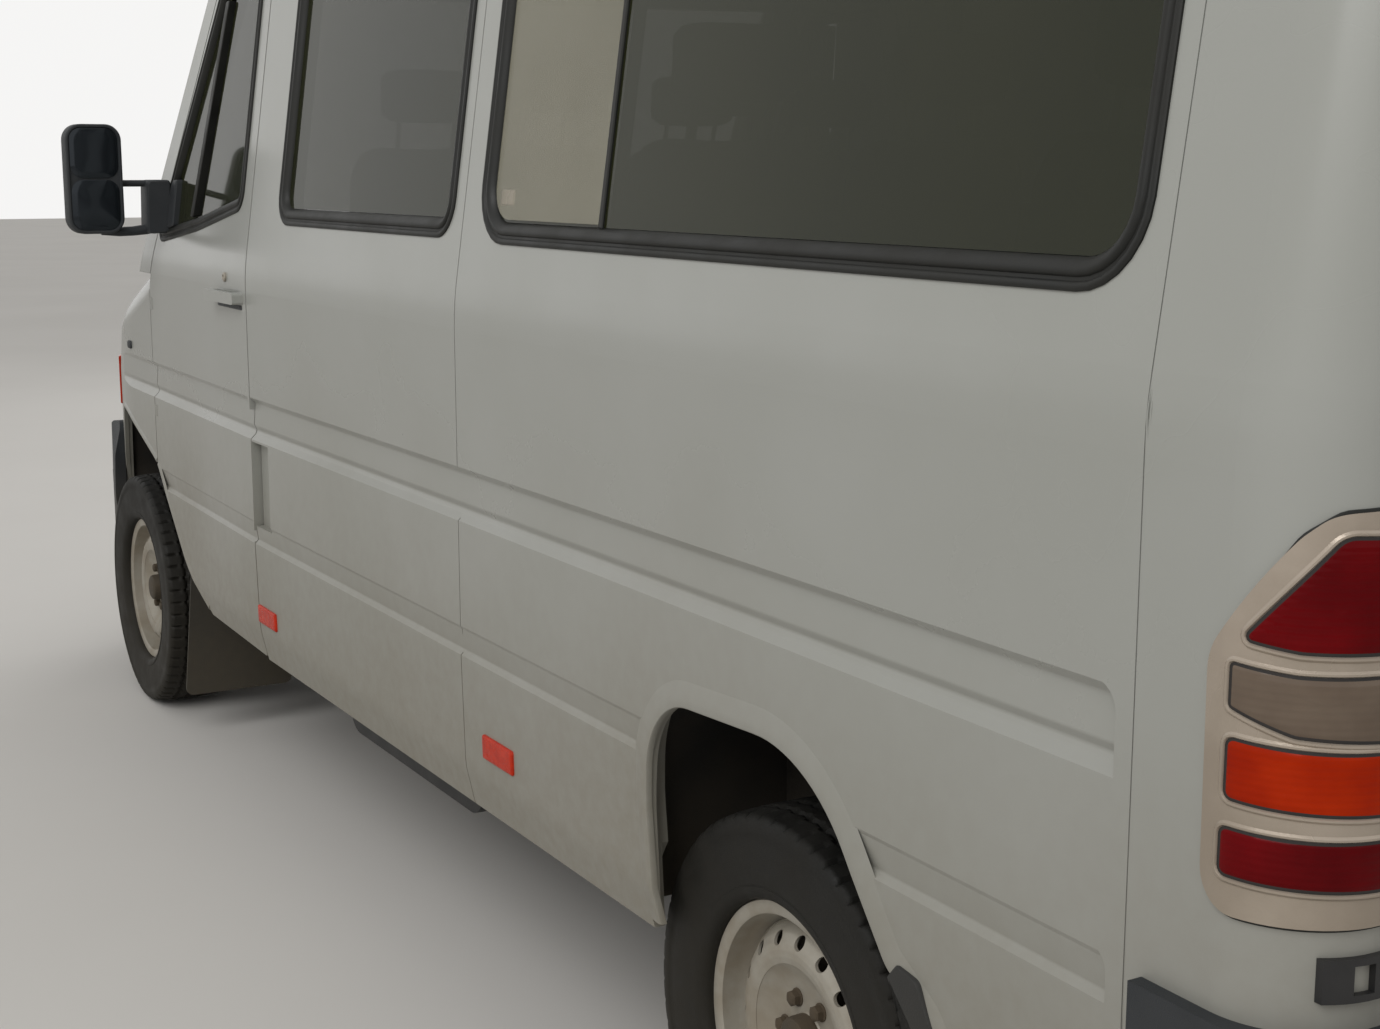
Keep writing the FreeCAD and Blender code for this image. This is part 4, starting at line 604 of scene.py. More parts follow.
def tyre(around=360):
    """Turned profile (y, radius) less the tread pattern: zigzag grooves where y + ZIGZAG x zigzag(angle) nears a
    groove's place, and slots where the angle's phase is short and y is near a shoulder."""
    tread = np.linspace(-TREAD_HALF, TREAD_HALF, TREAD_STATIONS)
    crown = CROWN_R - CROWN_DROP * (np.abs(tread) / TREAD_HALF) ** 3
    y = np.concatenate([tread, WALL[:, 0], BORE[:, 0], -WALL[::-1, 0]])[:, None]
    radius = np.concatenate([crown, WALL[:, 1], BORE[:, 1], WALL[::-1, 1]])[:, None]
    angle = full_turn(around)[None, :]
    phase = (angle * BLOCKS / (2 * math.pi)) % 1.0
    across = y + ZIGZAG * (np.abs(phase * 2 - 1) * 2 - 1)
    groove = sum(np.clip(1 - (np.abs(across - at) / GROOVE_HALF) ** 4, 0, 1) for at in GROOVES)
    shoulder = np.clip((np.abs(y) - SLOT_FROM) / 0.004, 0, 1) * np.clip((SLOT_TO - np.abs(y)) / 0.003, 0, 1)
    slot = np.clip((SLOT_SHARE - np.abs(phase - 0.5)) / 0.04, 0, 1) * shoulder
    depth = np.maximum(np.clip(groove, 0, 1) * GROOVE_DEPTH, slot * SLOT_DEPTH)
    worn = radius - np.where(radius > PATTERN_FROM_R, depth, 0.0)
    return about_axle(worn, y, angle), grid_faces(len(y), around, True)


tread_and_walls = tyre()
for end, side in WHEELS:
    piece(f"tread_{end}_{side}", on_wheel([tread_and_walls], end, side), tyre_rubber, f"wheel_{end}_{side}",
          [f"tyre_{end}_{side}"])
print("faces in a tyre:", len(tread_and_walls[1]))

# %% [markdown]
# ## Steel wheels
# The wheel is a rolled rim with a deep well and a pressed disc: a hub flat with six bolts, a raised ring and a
# dished edge with round vents. Holes could be cut with booleans. Here the disc is a turned grid whose cells
# are left out inside each vent, and as that alone leaves jagged edges, the points near a vent's edge are
# first moved on to its circle.

# %% Rim, hub and disc
VENTS, VENT_R, VENT_AT = 16, 0.0105, 0.148
DISC_FROM, DISC_TO, DISC_THICK = 0.112, 0.172, 0.005


def turned(profile, around=160):
    """Closed profile (y, radius) turned about the axle."""
    y, radius = np.array(profile, float).T[..., None]
    angle = full_turn(around)[None, :]
    return about_axle(radius + 0 * angle, y, angle), grid_faces(len(y), around, True)


def disc_face(radius):
    """Height of the pressed disc over its radius, from a few measured stations."""
    return np.interp(radius, [0.100, 0.112, 0.122, 0.132, 0.142, 0.155, 0.165, 0.172],
                     [0.0640, 0.0660, 0.0690, 0.0695, 0.0670, 0.0590, 0.0480, 0.0400])


def vented_disc(around=336, rings=40):
    """Disc between two radii with the pressed face's height. Grid points within a quarter of VENT_R of a vent's
    circle move on to it, quads that reach further in are left out, and the two skins are sewn at every edge."""
    radius, angle = np.linspace(DISC_FROM, DISC_TO, rings)[:, None], full_turn(around)[None, :]
    pitch = 2 * math.pi / VENTS
    u, v = radius - VENT_AT, VENT_AT * ((angle + pitch / 2) % pitch - pitch / 2)
    distance = np.hypot(u, v)
    near = (distance < VENT_R * 1.25) & (distance > VENT_R * 0.75)
    pull = np.where(near, VENT_R / np.maximum(distance, 1e-9), 1.0)
    r, a = VENT_AT + u * pull, angle + (v * pull - v) / VENT_AT
    top = about_axle(r, disc_face(r), a).reshape(-1, 3)
    quads = grid_faces(rings, around)
    hole = ((distance < VENT_R) & ~near).reshape(-1)
    quads = quads[~hole[quads].any(1)]
    bottom, n = top - (0, DISC_THICK, 0), len(top)
    edges = np.vstack([quads[:, [i, (i + 1) % 4]] for i in range(4)])
    _, first, count = np.unique(np.sort(edges, 1), axis=0, return_index=True, return_counts=True)
    lip = edges[first[count == 1]]
    walls = np.stack([lip[:, 1], lip[:, 0], lip[:, 0] + n, lip[:, 1] + n], -1)
    used, faces = np.unique(np.vstack([quads, quads[:, ::-1] + n, walls]), return_inverse=True)
    return np.vstack([top, bottom])[used], faces.reshape(-1, 4)


disc = vented_disc()
print("vented disc:", len(disc[1]), "quads")

# %% Profiles of the wheel
HUB_BACK = 0.0274
RIM = [(-0.082, 0.1845), (-0.082, 0.2070), (-0.0785, 0.2075), (-0.0775, 0.1915), (-0.050, 0.1880),
       (-0.030, 0.1720), (0.020, 0.1700), (0.040, 0.1860), (0.060, 0.1895), (0.0775, 0.1915), (0.0790, 0.2060),
       (0.0812, 0.2078), (0.0835, 0.2060), (0.0830, 0.1900), (0.0800, 0.1860), (0.058, 0.1840), (0.040, 0.1800),
       (0.024, 0.1640), (-0.034, 0.1640), (-0.054, 0.1820)]
HUB = [(HUB_BACK, 0.0000), (HUB_BACK, 0.0850), (0.0610, 0.1130), (0.0660, 0.1130), (0.0590, 0.1060),
       (0.0500, 0.0900), (0.0450, 0.0780), (0.0455, 0.0400), (0.0500, 0.0360), (0.0500, 0.0000)]
CAP = [(0.0440, 0.0000), (0.0440, 0.0380), (0.0640, 0.0372), (0.0720, 0.0350), (0.0755, 0.0290),
       (0.0765, 0.0180), (0.0770, 0.0000)]
DISC_EDGE = [(0.0360, 0.1700), (0.0400, 0.1725), (0.0470, 0.1680), (0.0430, 0.1655), (0.0350, 0.1655)]
BOLTS, BOLT_CIRCLE, BOLT_BASE, BOLT_HALF = 6, 0.0605, 0.045, 0.0105
BOLT_RINGS = np.array([(0.000, 1.30, 0), (0.002, 1.30, 0), (0.003, 1.00, 1), (0.012, 1.00, 1),
                       (0.0145, 0.80, 0.7), (0.0155, 0.45, 0), (0.0155, 0.02, 0)])


def bolt(at_angle, around=24):
    """Wheel bolt on its circle: rings of (height, size, share of hexagon) under a domed end, where the hexagon's
    radius is half its width / cos(angle from the middle of a flat)."""
    angle = full_turn(around)
    hexagon = BOLT_HALF / np.cos((angle + math.pi / 6) % (math.pi / 3) - math.pi / 6)
    height, size, share = BOLT_RINGS.T[..., None]
    rings = about_axle(size * (BOLT_HALF * (1 - share) + hexagon * share), BOLT_BASE + height, angle)
    middle = np.array([BOLT_CIRCLE * math.cos(at_angle), 0, BOLT_CIRCLE * math.sin(at_angle)])
    base, tip = (middle + (0, rings[i, 0, 1], 0) for i in (0, -1))
    return capped(rings + middle, base, tip)


print("rim width over the flanges:", round(max(y for y, _ in RIM) - min(y for y, _ in RIM), 3), "m")

# %% Wheels and fixings
steel = [turned(RIM), turned(HUB), turned(DISC_EDGE), disc]
fixings = [turned(CAP, 48)] + [bolt(2 * math.pi * i / BOLTS) for i in range(BOLTS)]
for end, side in WHEELS:
    wheel = f"wheel_{end}_{side}"
    piece(f"steel_wheel_{end}_{side}", on_wheel(steel, end, side), wheel_steel, wheel, [wheel])
    piece(f"wheel_fixings_{end}_{side}", on_wheel(fixings, end, side), iron, wheel)
print("solids in a wheel:", len(steel) + len(fixings))

# %% [markdown]
# ## Wheel arch lips
# The sheet metal round each arch is rolled into a soft lip, wider and flared at the rear wheel. Bevelling the
# panel's edge would round it but not let it stand out. So a small section runs along the open upper part of
# the drawing's arch outline, and as such a path has ends, each end is closed with a fan.

# %% Beads along an open path
SILL_Z = 0.446


def inward_open(path, amount):
    """Open path moved to its left: each point goes square to the local direction."""
    along = unit_rows(np.gradient(path, axis=0))
    return path + np.column_stack([-along[:, 1], along[:, 0]]) * amount


def bead(path, section, surface):
    """Closed (inset, rise) section carried along an open path on a surface; each end closes to its middle."""
    rings = np.stack([surface(*inward_open(path, inset).T, np.full(len(path), rise)) for inset, rise in section], 1)
    return capped(rings, rings[0].mean(0), rings[-1].mean(0))


def arch_path(axle, corners):
    """The part of an arch outline above the sill, from one foot to the other."""
    outline = rounded([(axle + x, z, r) for x, z, r in corners], 420)
    above = outline[:, 1] > SILL_Z
    start = np.flatnonzero(above & ~np.roll(above, 1))[0]
    return np.roll(outline, -start, 0)[:above.sum()]


print("lips end", SILL_Z, "m above the ground")

# %% Arch lips
REAR_ARCH = [(0.242, 0.38, 0.002), (0.265, 0.64, 0.30), (0.252, 0.808, 0.13), (-0.180, 0.832, 0.26),
             (-0.355, 0.608, 0.06), (-0.445, 0.556, 0.04), (-0.465, 0.38, 0.002)]
FRONT_ARCH = [(-0.962, 0.38, 0.002), (-0.670, 0.543, 0.30), (-0.410, 0.776, 0.16), (-0.040, 0.881, 0.50),
              (0.250, 0.872, 0.23), (0.405, 0.640, 0.15), (0.405, 0.38, 0.002)]
FLARE = [(-0.042, -0.0010), (-0.036, 0.0003), (-0.028, 0.0016), (-0.020, 0.0031), (-0.012, 0.0044),
         (-0.004, 0.0048), (0.001, 0.0038), (0.0025, 0.0015), (0.0025, -0.0060), (0.0005, -0.0070),
         (-0.0008, -0.0020)]
LIP = [(-0.015, -0.0008), (-0.012, 0.0012), (-0.006, 0.0026), (0.000, 0.0026), (0.0022, 0.0008),
       (0.0022, -0.0110), (-0.0005, -0.0115), (-0.0012, -0.0014)]
DOOR_EDGE, WING_EDGE = 1.4185, 1.4275
rear_lip = bead(arch_path(AXLES["rear"], REAR_ARCH), FLARE, flank)
both_sides("rear_arch_lips", [rear_lip], paint)
front_path = arch_path(AXLES["front"], FRONT_ARCH)
door_lip = bead(front_path[front_path[:, 0] < DOOR_EDGE], LIP, flank)
wing_lip = bead(front_path[front_path[:, 0] > WING_EDGE], LIP, flank)
both_sides("wing_arch_lips", [wing_lip], paint)
for side, turn in SIDES:
    piece(f"door_arch_lip_{side}", turn([door_lip]), paint, f"front_door_{side}")
print("lip points:", len(rear_lip[0]), len(wing_lip[0]), len(door_lip[0]))

# %% [markdown]
# ## Small things on the sides
# Orange side reflectors, the rubber ends of the rear mud flaps, the rear bumper's corners, sealer in the body
# seams and a lock above each door handle. Bevelled boxes would stand off a side that leans and turns, so each
# is a pad on the body, with its edge ring rolled over.

# %% Reflectors, flap ends and sealer
side_reflector = finish("side_reflector", ((196, 50, 22), (172, 38, 16)), (0.22, 0.34), patch=60.0,
                        bump=(900.0, 0.5), specular=0.15)
RAISED = [(0.0, -0.002), (0.0, 0.0030), (0.0015, 0.0050), (0.004, 0.0058)]
FLAP_END = [(-2.080, 0.596, 0.006), (-2.100, 0.619, 0.010), (-2.142, 0.612, 0.016), (-2.174, 0.560, 0.016),
            (-2.186, 0.440, 0.02), (-2.182, 0.240, 0.010), (-2.160, 0.240, 0.010), (-2.148, 0.440, 0.02),
            (-2.128, 0.548, 0.014)]
reflectors = [bar_on(0.335, 0.462, 0.524, 0.566, 0.004, RAISED), bar_on(-0.968, -0.843, 0.542, 0.586, 0.004, RAISED)]
both_sides("side_reflectors", reflectors, side_reflector)
flap_end = pad(rounded(FLAP_END, 160), [(0.0, -0.060), (0.0, 0.004), (0.002, 0.0075), (0.005, 0.0080)], flank)
both_sides("rear_flap_ends", [flap_end], flap_rubber)
bumper_corner = bar_on(0.025, 0.190, 0.400, 0.585, 0.012, [(0.0, -0.004), (0.0, 0.0030), (0.003, 0.0042)], corner)
both_sides("rear_bumper_corners", [bumper_corner], grained)
sealer = bar_on(-2.4990, -2.4930, 0.438, 2.068, 0.001, [(0.0, -0.004), (0.0, -0.0006), (0.001, -0.0004)], count=160)
both_sides("corner_seam_sealer", [sealer], paint)
print("reflector length:", round(float(np.ptp(reflectors[0][0][:, 0])), 3), "m")

# %% Locks and painted shade under the handles
LOCK_X, LOCK_Z, LOCK_R = 0.640, 1.318, 0.011


def circle_at(a, b, radius, count):
    """Round outline about (a, b)."""
    angle = full_turn(count)
    return np.column_stack([a + radius * np.cos(angle), b + radius * np.sin(angle)])


lock = pad(circle_at(LOCK_X, LOCK_Z, LOCK_R, 40),
           [(0.0, -0.002), (0.0, 0.003), (0.002, 0.0045), (0.0045, 0.0045), (0.005, 0.0025)], flank)
# A flat near-black strip under each handle: painted shade of the handle's recess.
handle_shade_strip = bar_on(0.500, 0.712, 1.248, 1.2590, 0.005, [(0.0, -0.001), (0.0, 0.0006), (0.001, 0.0010)])
for side, turn in SIDES:
    piece(f"door_lock_{side}", turn([lock]), wheel_steel, f"front_door_{side}")
    piece(f"door_handle_shade_strip_{side}", turn([handle_shade_strip]), grained, f"front_door_{side}")
print("lock diameter:", 2 * LOCK_R, "m")

# %% [markdown]
# ## Cab door windows and mirrors
# Each cab door has a rubber round its window, an upright bar that parts off the quarter light and a black
# corner panel that carries the mirror: a deep housing with two glasses on two arms. The drawing's trim node is
# a plain stand-in for all of it, so these pieces take its place together.

# %% Cab door window trim
DOOR_WINDOW = [(0.545, 1.488, 0.040), (0.930, 1.430, 0.400), (1.318, 1.388, 0.022), (0.886, 1.992, 0.030),
               (0.545, 1.992, 0.030)]
QUARTER_BAR = [(0.972, 1.452, 0.004), (1.000, 1.448, 0.004), (0.846, 1.965, 0.004), (0.818, 1.965, 0.004)]
CORNER_PANEL = [(1.158, 1.424, 0.004), (1.300, 1.405, 0.012), (1.205, 1.538, 0.010), (1.158, 1.541, 0.006)]
door_rubber = band(rounded(DOOR_WINDOW, 260), RUBBER, flank)
quarter_bar = pad(rounded(QUARTER_BAR, 120), [(0.0, -0.0200), (0.0, 0.0015), (0.002, 0.0030)], flank)
corner_panel = pad(rounded(CORNER_PANEL, 100), [(0.0, -0.0200), (0.0, 0.0040), (0.004, 0.0070)], flank)
print("door rubber points:", door_rubber[0].shape)

# %% Mirror plane and tubes
MIRROR_X = 1.25


def mirror_face(y, z, rise):
    """Upright plane across the vehicle at the mirror, rise going back towards the driver: x = MIRROR_X - rise."""
    return np.stack([MIRROR_X - rise + 0 * y, y, z], -1)


def tube(path, radius, sides=20):
    """Round bar along a path of 3-D points: at each point a circle square to the path, its axes carried from
    the world's up; the ends close to a point."""
    path = np.array(path, float)
    along = unit_rows(np.gradient(path, axis=0))
    guide = (0.0, 0.0, 1.0) if abs(along[:, 2]).max() < 0.9 else (1.0, 0.0, 0.0)
    right = unit_rows(np.cross(along, guide))
    up, angle = np.cross(right, along), full_turn(sides)[None, :, None]
    size = np.broadcast_to(np.asarray(radius, float), (len(path),))[:, None, None]
    rings = path[:, None] + size * (right[:, None] * np.cos(angle) + up[:, None] * np.sin(angle))
    return capped(rings, path[0], path[-1])


print("mirror plane at x =", MIRROR_X)

# %% Mirrors
mirror_look = finish("mirror_glass", ((42, 47, 52), (36, 41, 46)), (0.08, 0.12), patch=3.0, metallic=0.6)
HOUSING = [(0.030, -0.0490), (0.014, -0.0440), (0.004, -0.0330), (0.0, -0.0180), (0.0, 0.0260),
           (0.0015, 0.0290), (0.004, 0.0300), (0.007, 0.0294), (0.0085, 0.0270), (0.009, 0.0240)]
GLASS_RINGS = [(0.0, 0.0200), (0.0, 0.0256), (0.0015, 0.0262)]
FOOT = [(0.930, 1.404, 0.010), (0.990, 1.402, 0.012), (0.986, 1.540, 0.014), (0.925, 1.540, 0.010)]
head_outline = rounded(rectangle(1.046, 1.186, 1.404, 1.680, 0.040), 140)
housing = pad(head_outline, HOUSING, mirror_face, -0.0010)
glasses = [bar_on(1.0560, 1.1760, 1.545, 1.6710, 0.030, GLASS_RINGS, mirror_face, 0.0005),
           bar_on(1.0560, 1.1760, 1.4130, 1.5400, 0.030, GLASS_RINGS, mirror_face, 0.0022)]
upper_arm = tube(np.linspace((1.252, 0.955, 1.531), (1.252, 1.060, 1.531), 9), 0.0085)
lower_arm = tube([(1.252, 0.945, 1.420), (1.252, 0.985, 1.413), (1.252, 1.020, 1.409), (1.252, 1.055, 1.408),
                  (1.252, 1.100, 1.410)], [0.013, 0.013, 0.012, 0.012, 0.010])
foot = pad(rounded(FOOT, 80), [(0.004, -0.040), (0.0, -0.034), (0.0, 0.030), (0.004, 0.036)], mirror_face)
for side, turn in SIDES:
    door, trim = f"front_door_{side}", [f"door_trim_{side}"]
    piece(f"door_window_rubber_{side}", turn([door_rubber, quarter_bar]), rubber, door, trim)
    piece(f"mirror_housing_{side}", turn([housing, upper_arm, lower_arm, foot, corner_panel]), grained, door,
          trim)
    piece(f"mirror_glass_{side}", turn(glasses), mirror_look, door)
print("mirror head:", np.round(np.ptp(head_outline, axis=0), 3), "m")

# %% [markdown]
# ## The front
# The nose is a wide arc in plan about a point near the middle of the floor, and so is the windscreen. A
# surface function for each lets the lamp rims and the wipers follow it. A head lamp shows its bowls through
# the clear cover of the drawing, so each bowl and each bulb is a profile turned about a line that runs forward.

# %% Front surfaces
ARC_CENTRE = -1.4
NOSE_Z, NOSE_X = [0.43, 0.792, 0.84, 0.879, 0.93], [2.690, 2.6835, 2.6735, 2.6545, 2.619]
SCREEN_FOOT, SCREEN_REACH, SCREEN_SLOPE = 1.29, 3.072, 0.7236


def nose(y, z, rise):
    """Front panel: x = centre + sqrt((reach + rise) squared - y squared), reach falling over the bonnet's edge."""
    reach = np.interp(z, NOSE_Z, NOSE_X) - ARC_CENTRE
    return np.stack([ARC_CENTRE + np.sqrt((reach + rise) ** 2 - y ** 2), y, z], -1)


def screen(y, z, rise):
    """Windscreen: the arc's reach shrinks by the slope per metre of height; rise goes square to the slope, so
    0.81 of it forward and 0.586 of it up."""
    reach = SCREEN_REACH - SCREEN_SLOPE * (z - SCREEN_FOOT) + 0.81 * rise
    return np.stack([ARC_CENTRE + np.sqrt(reach ** 2 - y ** 2), y, z + 0.586 * rise], -1)


print("nose reaches x =", round(float(nose(np.array(0.0), np.array(0.6), 0.0)[0]), 3))

# %% Head lamps
mirrored = finish("lamp_reflector", ((214, 216, 218), (204, 206, 208)), (0.06, 0.1), patch=4.0, metallic=1.0)
LAMP_Z, MAIN_Y, SIDE_Y = 0.768, 0.572, 0.690
LAMP_RIM = [(0.496, 0.664, 0.012), (0.716, 0.664, 0.012), (0.716, 0.872, 0.030), (0.496, 0.872, 0.030)]


def facing_forward(profile, around, at):
    """Profile (x, radius) turned about a line that runs forward, then moved to its place."""
    points, faces = turned(profile, around)
    return points.reshape(-1, 3)[:, [1, 0, 2]] + at, faces


def bowl(x, y, z, radius, depth):
    """Reflector open to the front: radius squared grows with depth, as in a parabola; the wall is 2 mm."""
    t = np.linspace(0.02, 1, 20)
    inner = np.column_stack([depth * t, radius * np.sqrt(t)])
    outer = inner + (-0.0015, 0.0015)
    return facing_forward(np.vstack([inner, outer[::-1]]), 64, (x - depth, y, z))


def bulb(x, y, z, radius, length):
    """Small glass dome on its holder: a quarter circle stretched to its length along x."""
    t = np.linspace(0, math.pi / 2, 12)
    along = np.concatenate([[0, 0], length * np.sin(t)])
    out = radius * np.concatenate([[0.001, 1], np.maximum(np.cos(t), 0.001)])
    return facing_forward(np.column_stack([along, out]), 32, (x, y, z))


bowls = [bowl(2.620, MAIN_Y, LAMP_Z, 0.066, 0.034), bowl(2.600, SIDE_Y, LAMP_Z, 0.042, 0.028)]
both_sides("head_lamp_bowls", bowls, mirrored)
bulbs = [bulb(2.590, MAIN_Y, LAMP_Z, 0.011, 0.022), bulb(2.576, SIDE_Y, LAMP_Z, 0.009, 0.018)]
both_sides("head_lamp_bulbs", bulbs, clear_glass)
both_sides("front_indicators", [bar_on(2.357, 2.398, 0.832, 0.984, 0.006, RAISED)], orange_lens)
both_sides("side_repeaters", [bar_on(1.674, 1.714, 1.066, 1.088, 0.008, RAISED)], grained)
lamp_rim = band(rounded(LAMP_RIM, 160), [(0.0, -0.010), (0.0, 0.0015), (0.003, 0.0030), (0.006, 0.0015),
                                         (0.006, -0.010)], nose)
both_sides("head_lamp_rims", [lamp_rim], rubber)
print("head lamp bowl:", round(float(np.ptp(bowls[0][0][:, 2])), 3), "m across")

# %% [markdown]
# ## Wipers and rear handle
# Two wipers lie parked at the foot of the windscreen. Each is a sprung arm on a pivot cap and a blade with a
# backbone over its rubber. The arm is a tube that bows away from the glass, and the blade is two pads, so both
# follow the curved screen. The left rear door has a plain black handle beside the middle gap.

# %% Wipers
WIPERS = (((0.620, 1.318), (0.180, 1.384), (0.460, 1.372), (-0.100, 1.388)),
          ((-0.120, 1.318), (-0.480, 1.380), (-0.220, 1.378), (-0.740, 1.382)))
BLADE_RUBBER = (0.004, [(0.0, 0.0010), (0.0, 0.0100), (0.0005, 0.0110)])
BLADE_BACK = (0.011, [(0.0, 0.0120), (0.0, 0.0160), (0.002, 0.0180)])
CAP_R, CAP_RINGS = 0.017, [(0.0, 0.004), (0.0, 0.022), (0.004, 0.027)]


def blade(start, end, width, rings):
    """Thin bar along a line on the windscreen between two (y, z) points."""
    start, end = np.array(start), np.array(end)
    along = (end - start) / np.linalg.norm(end - start)
    across = np.array([-along[1], along[0]]) * width / 2
    corners = [(*at, 0.001) for at in (start - across, start + across, end + across, end - across)]
    return pad(rounded(corners, 120), rings, screen)


wiper_parts, t = [], np.linspace(0, 1, 16)
for pivot, hold, near, far in WIPERS:
    y, z = (pivot[i] + (hold[i] - pivot[i]) * t for i in (0, 1))
    wiper_parts += [tube(screen(y, z, 0.020 + 0.016 * np.sin(math.pi * t)), 0.0085 - 0.004 * t, 12),
                    blade(near, far, *BLADE_RUBBER), blade(near, far, *BLADE_BACK),
                    pad(circle_at(*pivot, CAP_R, 32), CAP_RINGS, screen)]
piece("wipers", wiper_parts, grained, "body")
print("blade lengths:", [round(math.dist(near, far), 3) for _, _, near, far in WIPERS], "m")

# %% Rear door handle
handle = [bar_on(0.045, 0.165, 1.022, 1.056, 0.012, [(0.0, -0.001), (0.0, 0.010), (0.003, 0.014)], rear),
          bar_on(0.055, 0.155, 1.030, 1.048, 0.008, [(0.0, 0.012), (0.0, 0.024), (0.003, 0.028)], rear)]
piece("rear_door_handle", handle, grained, "rear_door_left")
print("handle:", round(float(np.ptp(handle[0][0][:, 1])), 3), "m wide")

# %% [markdown]
# ## Sliding pane
# The front quarter of the long window slides behind the fixed glass. It is a second pane, given a paler and
# beiger tone than the rest. A thin pad behind the glass keeps both panes whole.

# %% Sliding pane
pale_pane = finish("pale_pane", ((158, 154, 134), (142, 138, 118)), (0.08, 0.14), patch=1.4, alpha=0.42)
PANE = [(-0.868, 1.486, 0.060), (-1.262, 1.486, 0.004), (-1.262, 2.004, 0.004), (-0.868, 2.004, 0.060)]
pane = pad(rounded(PANE, 200), [(0.0, -0.0080), (0.0, -0.0050)], flank)
both_sides("sliding_panes", [pane], pale_pane)
print("sliding pane:", round(float(np.ptp(pane[0][:, 0])), 3), "m long")

# %% [markdown]
# ## Seats
# A seat pad is foam in a sewn cover, so it swells between its edges and its sides pull in between the
# corners. One cushion, one back and one head rest are shaped as a pillow form, blown up a little as cloth,
# and then copied to the thirteen places of the drawing. Cloth under pressure gives the crown that a plain
# rounded block lacks.

# %% Pillow form
def pillow(power=5.0, pull=0.05, crown=0.25, rows=48, columns=96):
    """Unit pad: a superellipsoid |u|^p + |v|^p + |w|^p = 1, its sides drawn in by pull (1 - t squared) and its
    thickness swelled by crown (1 - u squared)(1 - v squared)."""
    def bent(values):
        return np.sign(values) * np.abs(values) ** (2 / power)
    tilt = np.linspace(-math.pi / 2, math.pi / 2, rows)[:, None]
    turn = full_turn(columns)[None, :]
    u, v = bent(np.cos(tilt)) * bent(np.cos(turn)), bent(np.cos(tilt)) * bent(np.sin(turn))
    swell = 1 + crown * np.clip(1 - u ** 2, 0, 1) * np.clip(1 - v ** 2, 0, 1)
    w = (bent(np.sin(tilt)) + 0 * turn) * swell / (1 + crown)
    points = np.stack([u * (1 - pull * (1 - v ** 2)), v * (1 - pull * (1 - u ** 2)), w], -1)
    return points, grid_faces(rows, columns)


pillow_points, pillow_faces = pillow()
print("pillow form:", pillow_points.shape)

# %% Cushion, back and head rest
PAD_HALF, HEAD_HALF = 0.199, 0.120


def cushion_shape(p):
    """u back to front, v across, w up: the pad rises to the front as the drawing's cushion does."""
    x = 0.005 + 0.224 * p[..., 0]
    middle, half = (np.interp(x, [-0.23, 0.24], ends) for ends in ([0.386, 0.400], [0.047, 0.043]))
    return np.stack([x, PAD_HALF * p[..., 1], middle + half * p[..., 2]], -1)


def back_shape(p):
    """u up the back, v across, w from the rear to the front: it leans and thins as it rises."""
    z = 0.738 + 0.270 * p[..., 0]
    middle, half = (np.interp(z, [0.40, 1.02], ends) for ends in ([-0.195, -0.2825], [0.050, 0.039]))
    return np.stack([middle + half * p[..., 2], PAD_HALF * p[..., 1], z], -1)


def head_shape(p):
    """u up, v across, w from the rear to the front: it leans on in line with the back."""
    z = 1.108 + 0.063 * p[..., 0]
    middle = np.interp(z, [1.0, 1.18], [-0.2975, -0.3125])
    return np.stack([middle + 0.034 * p[..., 2], HEAD_HALF * p[..., 1], z], -1)


print("cushion length:", round(float(np.ptp(cushion_shape(pillow_points)[..., 0])), 3), "m")

# %% Swelling
def places_of(mesh):
    """Every point of a mesh as rows of x, y, z."""
    flat = np.empty(len(mesh.vertices) * 3)
    mesh.vertices.foreach_get("co", flat)
    return flat.reshape(-1, 3)


def swollen(points, faces, cap, voxel=0.014, pressure=4.0, moments=20):
    """Even quads by voxel remesh, then cloth under pressure for a few moments; no point moves further than cap:
    step x min(1, cap / length)."""
    points = points.reshape(-1, 3)
    mesh = bpy.data.meshes.new("pad_start")
    mesh.from_pydata(points.tolist(), [], (faces[:, ::-1] if volume(points, faces) < 0 else faces).tolist())
    trial = bpy.data.objects.new("pad_start", mesh)
    bpy.context.scene.collection.objects.link(trial)
    even = trial.modifiers.new("even", "REMESH")
    even.mode, even.voxel_size = "VOXEL", voxel
    bpy.context.view_layer.update()
    trial.data = bpy.data.meshes.new_from_object(trial.evaluated_get(bpy.context.evaluated_depsgraph_get()))
    trial.modifiers.remove(even)
    quads = np.empty(len(trial.data.loops), int)
    trial.data.loops.foreach_get("vertex_index", quads)
    start = end = places_of(trial.data)
    cloth = trial.modifiers.new("cloth", "CLOTH")
    cloth.settings.quality, cloth.settings.mass = 4, 0.15
    cloth.settings.use_pressure, cloth.settings.uniform_pressure_force = True, pressure
    cloth.settings.tension_stiffness = cloth.settings.compression_stiffness = 12
    cloth.settings.effector_weights.gravity = 0
    for moment in range(1, moments + 1):
        bpy.context.scene.frame_set(moment)
    end = places_of(trial.evaluated_get(bpy.context.evaluated_depsgraph_get()).data)
    bpy.context.scene.frame_set(1)
    step = end - start
    length = np.linalg.norm(step, axis=1, keepdims=True)
    bpy.data.objects.remove(trial)
    return start + step * np.minimum(1, cap / np.maximum(length, 1e-9)), quads.reshape(-1, 4)


print("cloth runs now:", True)

# %% Pads at every seat
SEAT_PLACES = [(x, y) for x, ys in ((0.800, (0.500, -0.220, -0.645)), (-0.090, (0.640, 0.215)),
                                    (-0.860, (0.640, 0.215, -0.640)), (-1.620, (0.430, 0.0, -0.430)),
                                    (-2.300, (0.430, 0.0, -0.430))) for y in ys]
SEAT_FOOT = 0.6284
PADS = {"cushions": (cushion_shape, 0.009, 0.8), "backs": (back_shape, 0.009, 0.75),
        "head_rests": (head_shape, 0.006, 0.8)}


